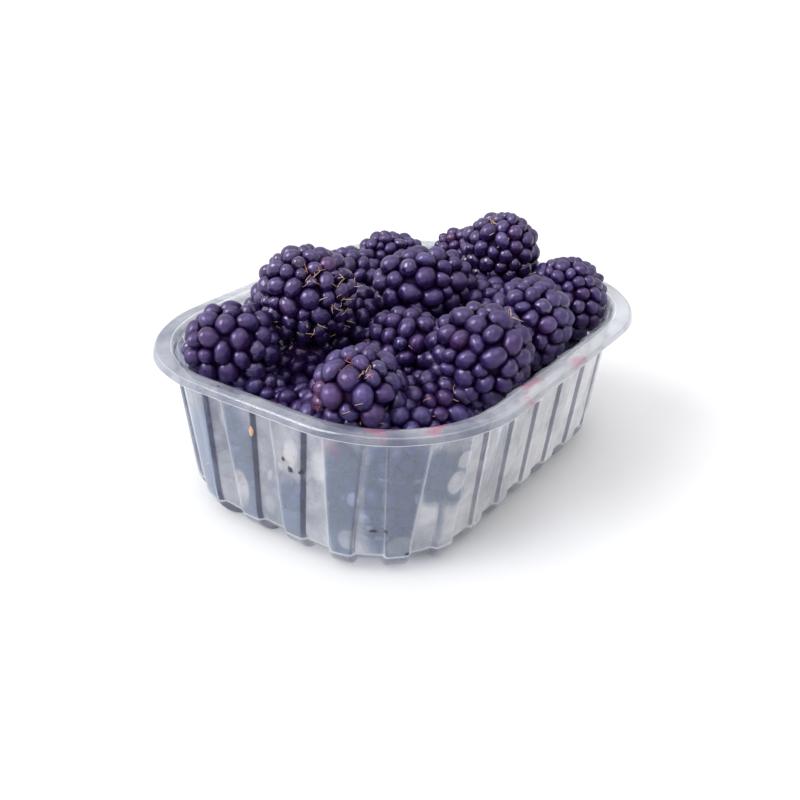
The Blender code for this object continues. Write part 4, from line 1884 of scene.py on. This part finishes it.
MARKS = Marks(
    rib_touches=(
        Patch((-54.0, 20.5, 17.5), (9.0, 9.0, 17.0)),
        Patch((-54.5, 8.0, 20.5), (9.0, 9.0, 20.0)),
        Patch((-54.5, -7.5, 9.5), (9.0, 9.0, 17.0)),
        Patch((-52.5, -24.0, 19.0), (9.0, 10.0, 25.0)),
        Patch((-45.0, -35.0, 19.0), (10.0, 10.0, 25.0)),
        Patch((-36.0, -41.0, 25.5), (6.0, 8.0, 11.0), 0.85),
        Patch((54.5, -13.0, 14.0), (9.0, 10.0, 17.0)),
        Patch((54.5, 7.0, 24.0), (9.0, 9.0, 17.0)),
        Patch((50.5, 27.0, 17.0), (10.0, 10.0, 21.0)),
        Patch((36.0, 41.0, 23.0), (9.0, 9.0, 18.0)),
        Patch((17.0, 45.0, 13.0), (10.0, 9.0, 16.0)),
        Patch((-5.0, 45.0, 25.0), (9.0, 9.0, 16.0)),
        Patch((-26.0, 44.0, 15.0), (10.0, 9.0, 18.0)),
        Patch((-44.0, 36.0, 23.0), (9.0, 9.0, 20.0)),
    ),
    touches=(
        Patch((-50.0, -31.0, 19.0), (7.5, 7.5, 25.0)),
        Patch((-40.5, -39.0, 26.0), (5.0, 5.5, 10.5), 0.85),
        Patch((-19.4, -42.0, 22.0), (6.0, 7.0, 11.0), 0.3),
    ),
    gaps=(
        Patch((-54.3, 8.6, 13.5), (6.0, 3.2, 6.5)),
        Patch((-34.8, -42.0, 29.6), (2.4, 5.0, 3.0)),
        Patch((-36.2, -41.0, 24.0), (2.8, 5.0, 4.0)),
        Patch((-52.8, -22.5, 10.5), (5.0, 2.6, 3.2), 0.7),
        Patch((-46.5, -33.0, 9.0), (4.0, 4.0, 3.6), 0.6),
    ),
    painted_light_fog=(
        Patch((-54.5, 12.0, 31.1), (5.0, 4.0, 5.0), 0.55),
        Patch((-54.5, -8.8, 29.6), (5.0, 3.2, 5.0), 0.6),
        Patch((-54.4, -15.6, 27.4), (5.0, 3.0, 6.0), 0.45),
        Patch((-53.8, 0.5, 11.5), (5.0, 2.4, 4.0), 0.4),
        Patch((-53.9, 8.2, 14.9), (5.0, 3.2, 5.5), 0.4),
    ),
    faint_step_shade=(
        Patch((-54.0, -27.5, 24.0), (6.0, 6.0, 45.0), 0.85),
        Patch((-41.0, -38.7, 24.0), (6.0, 6.0, 45.0), 0.85),
    ),
    stains=(
        Patch((-51.2, -30.9, 41.3), (7.5, 7.5, 5.0), 0.55),
        Patch((-43.2, -39.6, 41.3), (8.0, 6.0, 5.0), 0.65),
        Patch((-14.0, -46.6, 41.3), (8.0, 4.5, 5.0), 0.5),
        Patch((-22.0, -49.0, 39.0), (7.0, 4.0, 4.5), 0.55),
        Patch((3.5, -49.5, 41.0), (9.0, 4.0, 5.0), 0.45),
        Patch((-54.2, -21.5, 34.5), (5.0, 6.5, 5.5), 0.3),
    ),
)


def main() -> None:
    """Builds the studio and every piece in order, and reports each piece."""
    logging.basicConfig(level=logging.INFO, format="%(name)s %(message)s")
    studio = Studio()
    studio.build_camera()
    studio.build_lights()
    studio.build_floor()
    punnet = Punnet()
    tray = punnet.build(ClearPlastic().material(MARKS))
    pieces = [tray, Splashes(SPECKS).build(tray, SpeckFinish().material())]
    heap = Heap(punnet)
    skin = BerrySkin().material()
    walls = heap.wall_berries()
    groups = (
        Group("top_berries_front", TOP_BERRIES[:5], 100, 1),
        Group("top_berries_back", TOP_BERRIES[5:10], 105, 1),
        Group("top_berries_between", TOP_BERRIES[10:], 110, 1),
        Group("middle_berries", MIDDLE_BERRIES, 120, 0),
        Group("wall_berries", walls, 140, 0),
    )
    pieces += [heap.build_group(group, skin, ACCENTS) for group in groups]
    everything = TOP_BERRIES + MIDDLE_BERRIES + walls
    pieces.append(heap.build_core(everything, FleshInShade().material()))
    by_name = {berry.name: berry for berry in everything}
    pieces.append(DriedStyles(TUFTS).build(by_name, DriedStyle().material()))
    for piece in pieces:
        LOG.info("%s: %d faces", piece.name, len(piece.data.polygons))


if __name__ == "__main__":
    main()
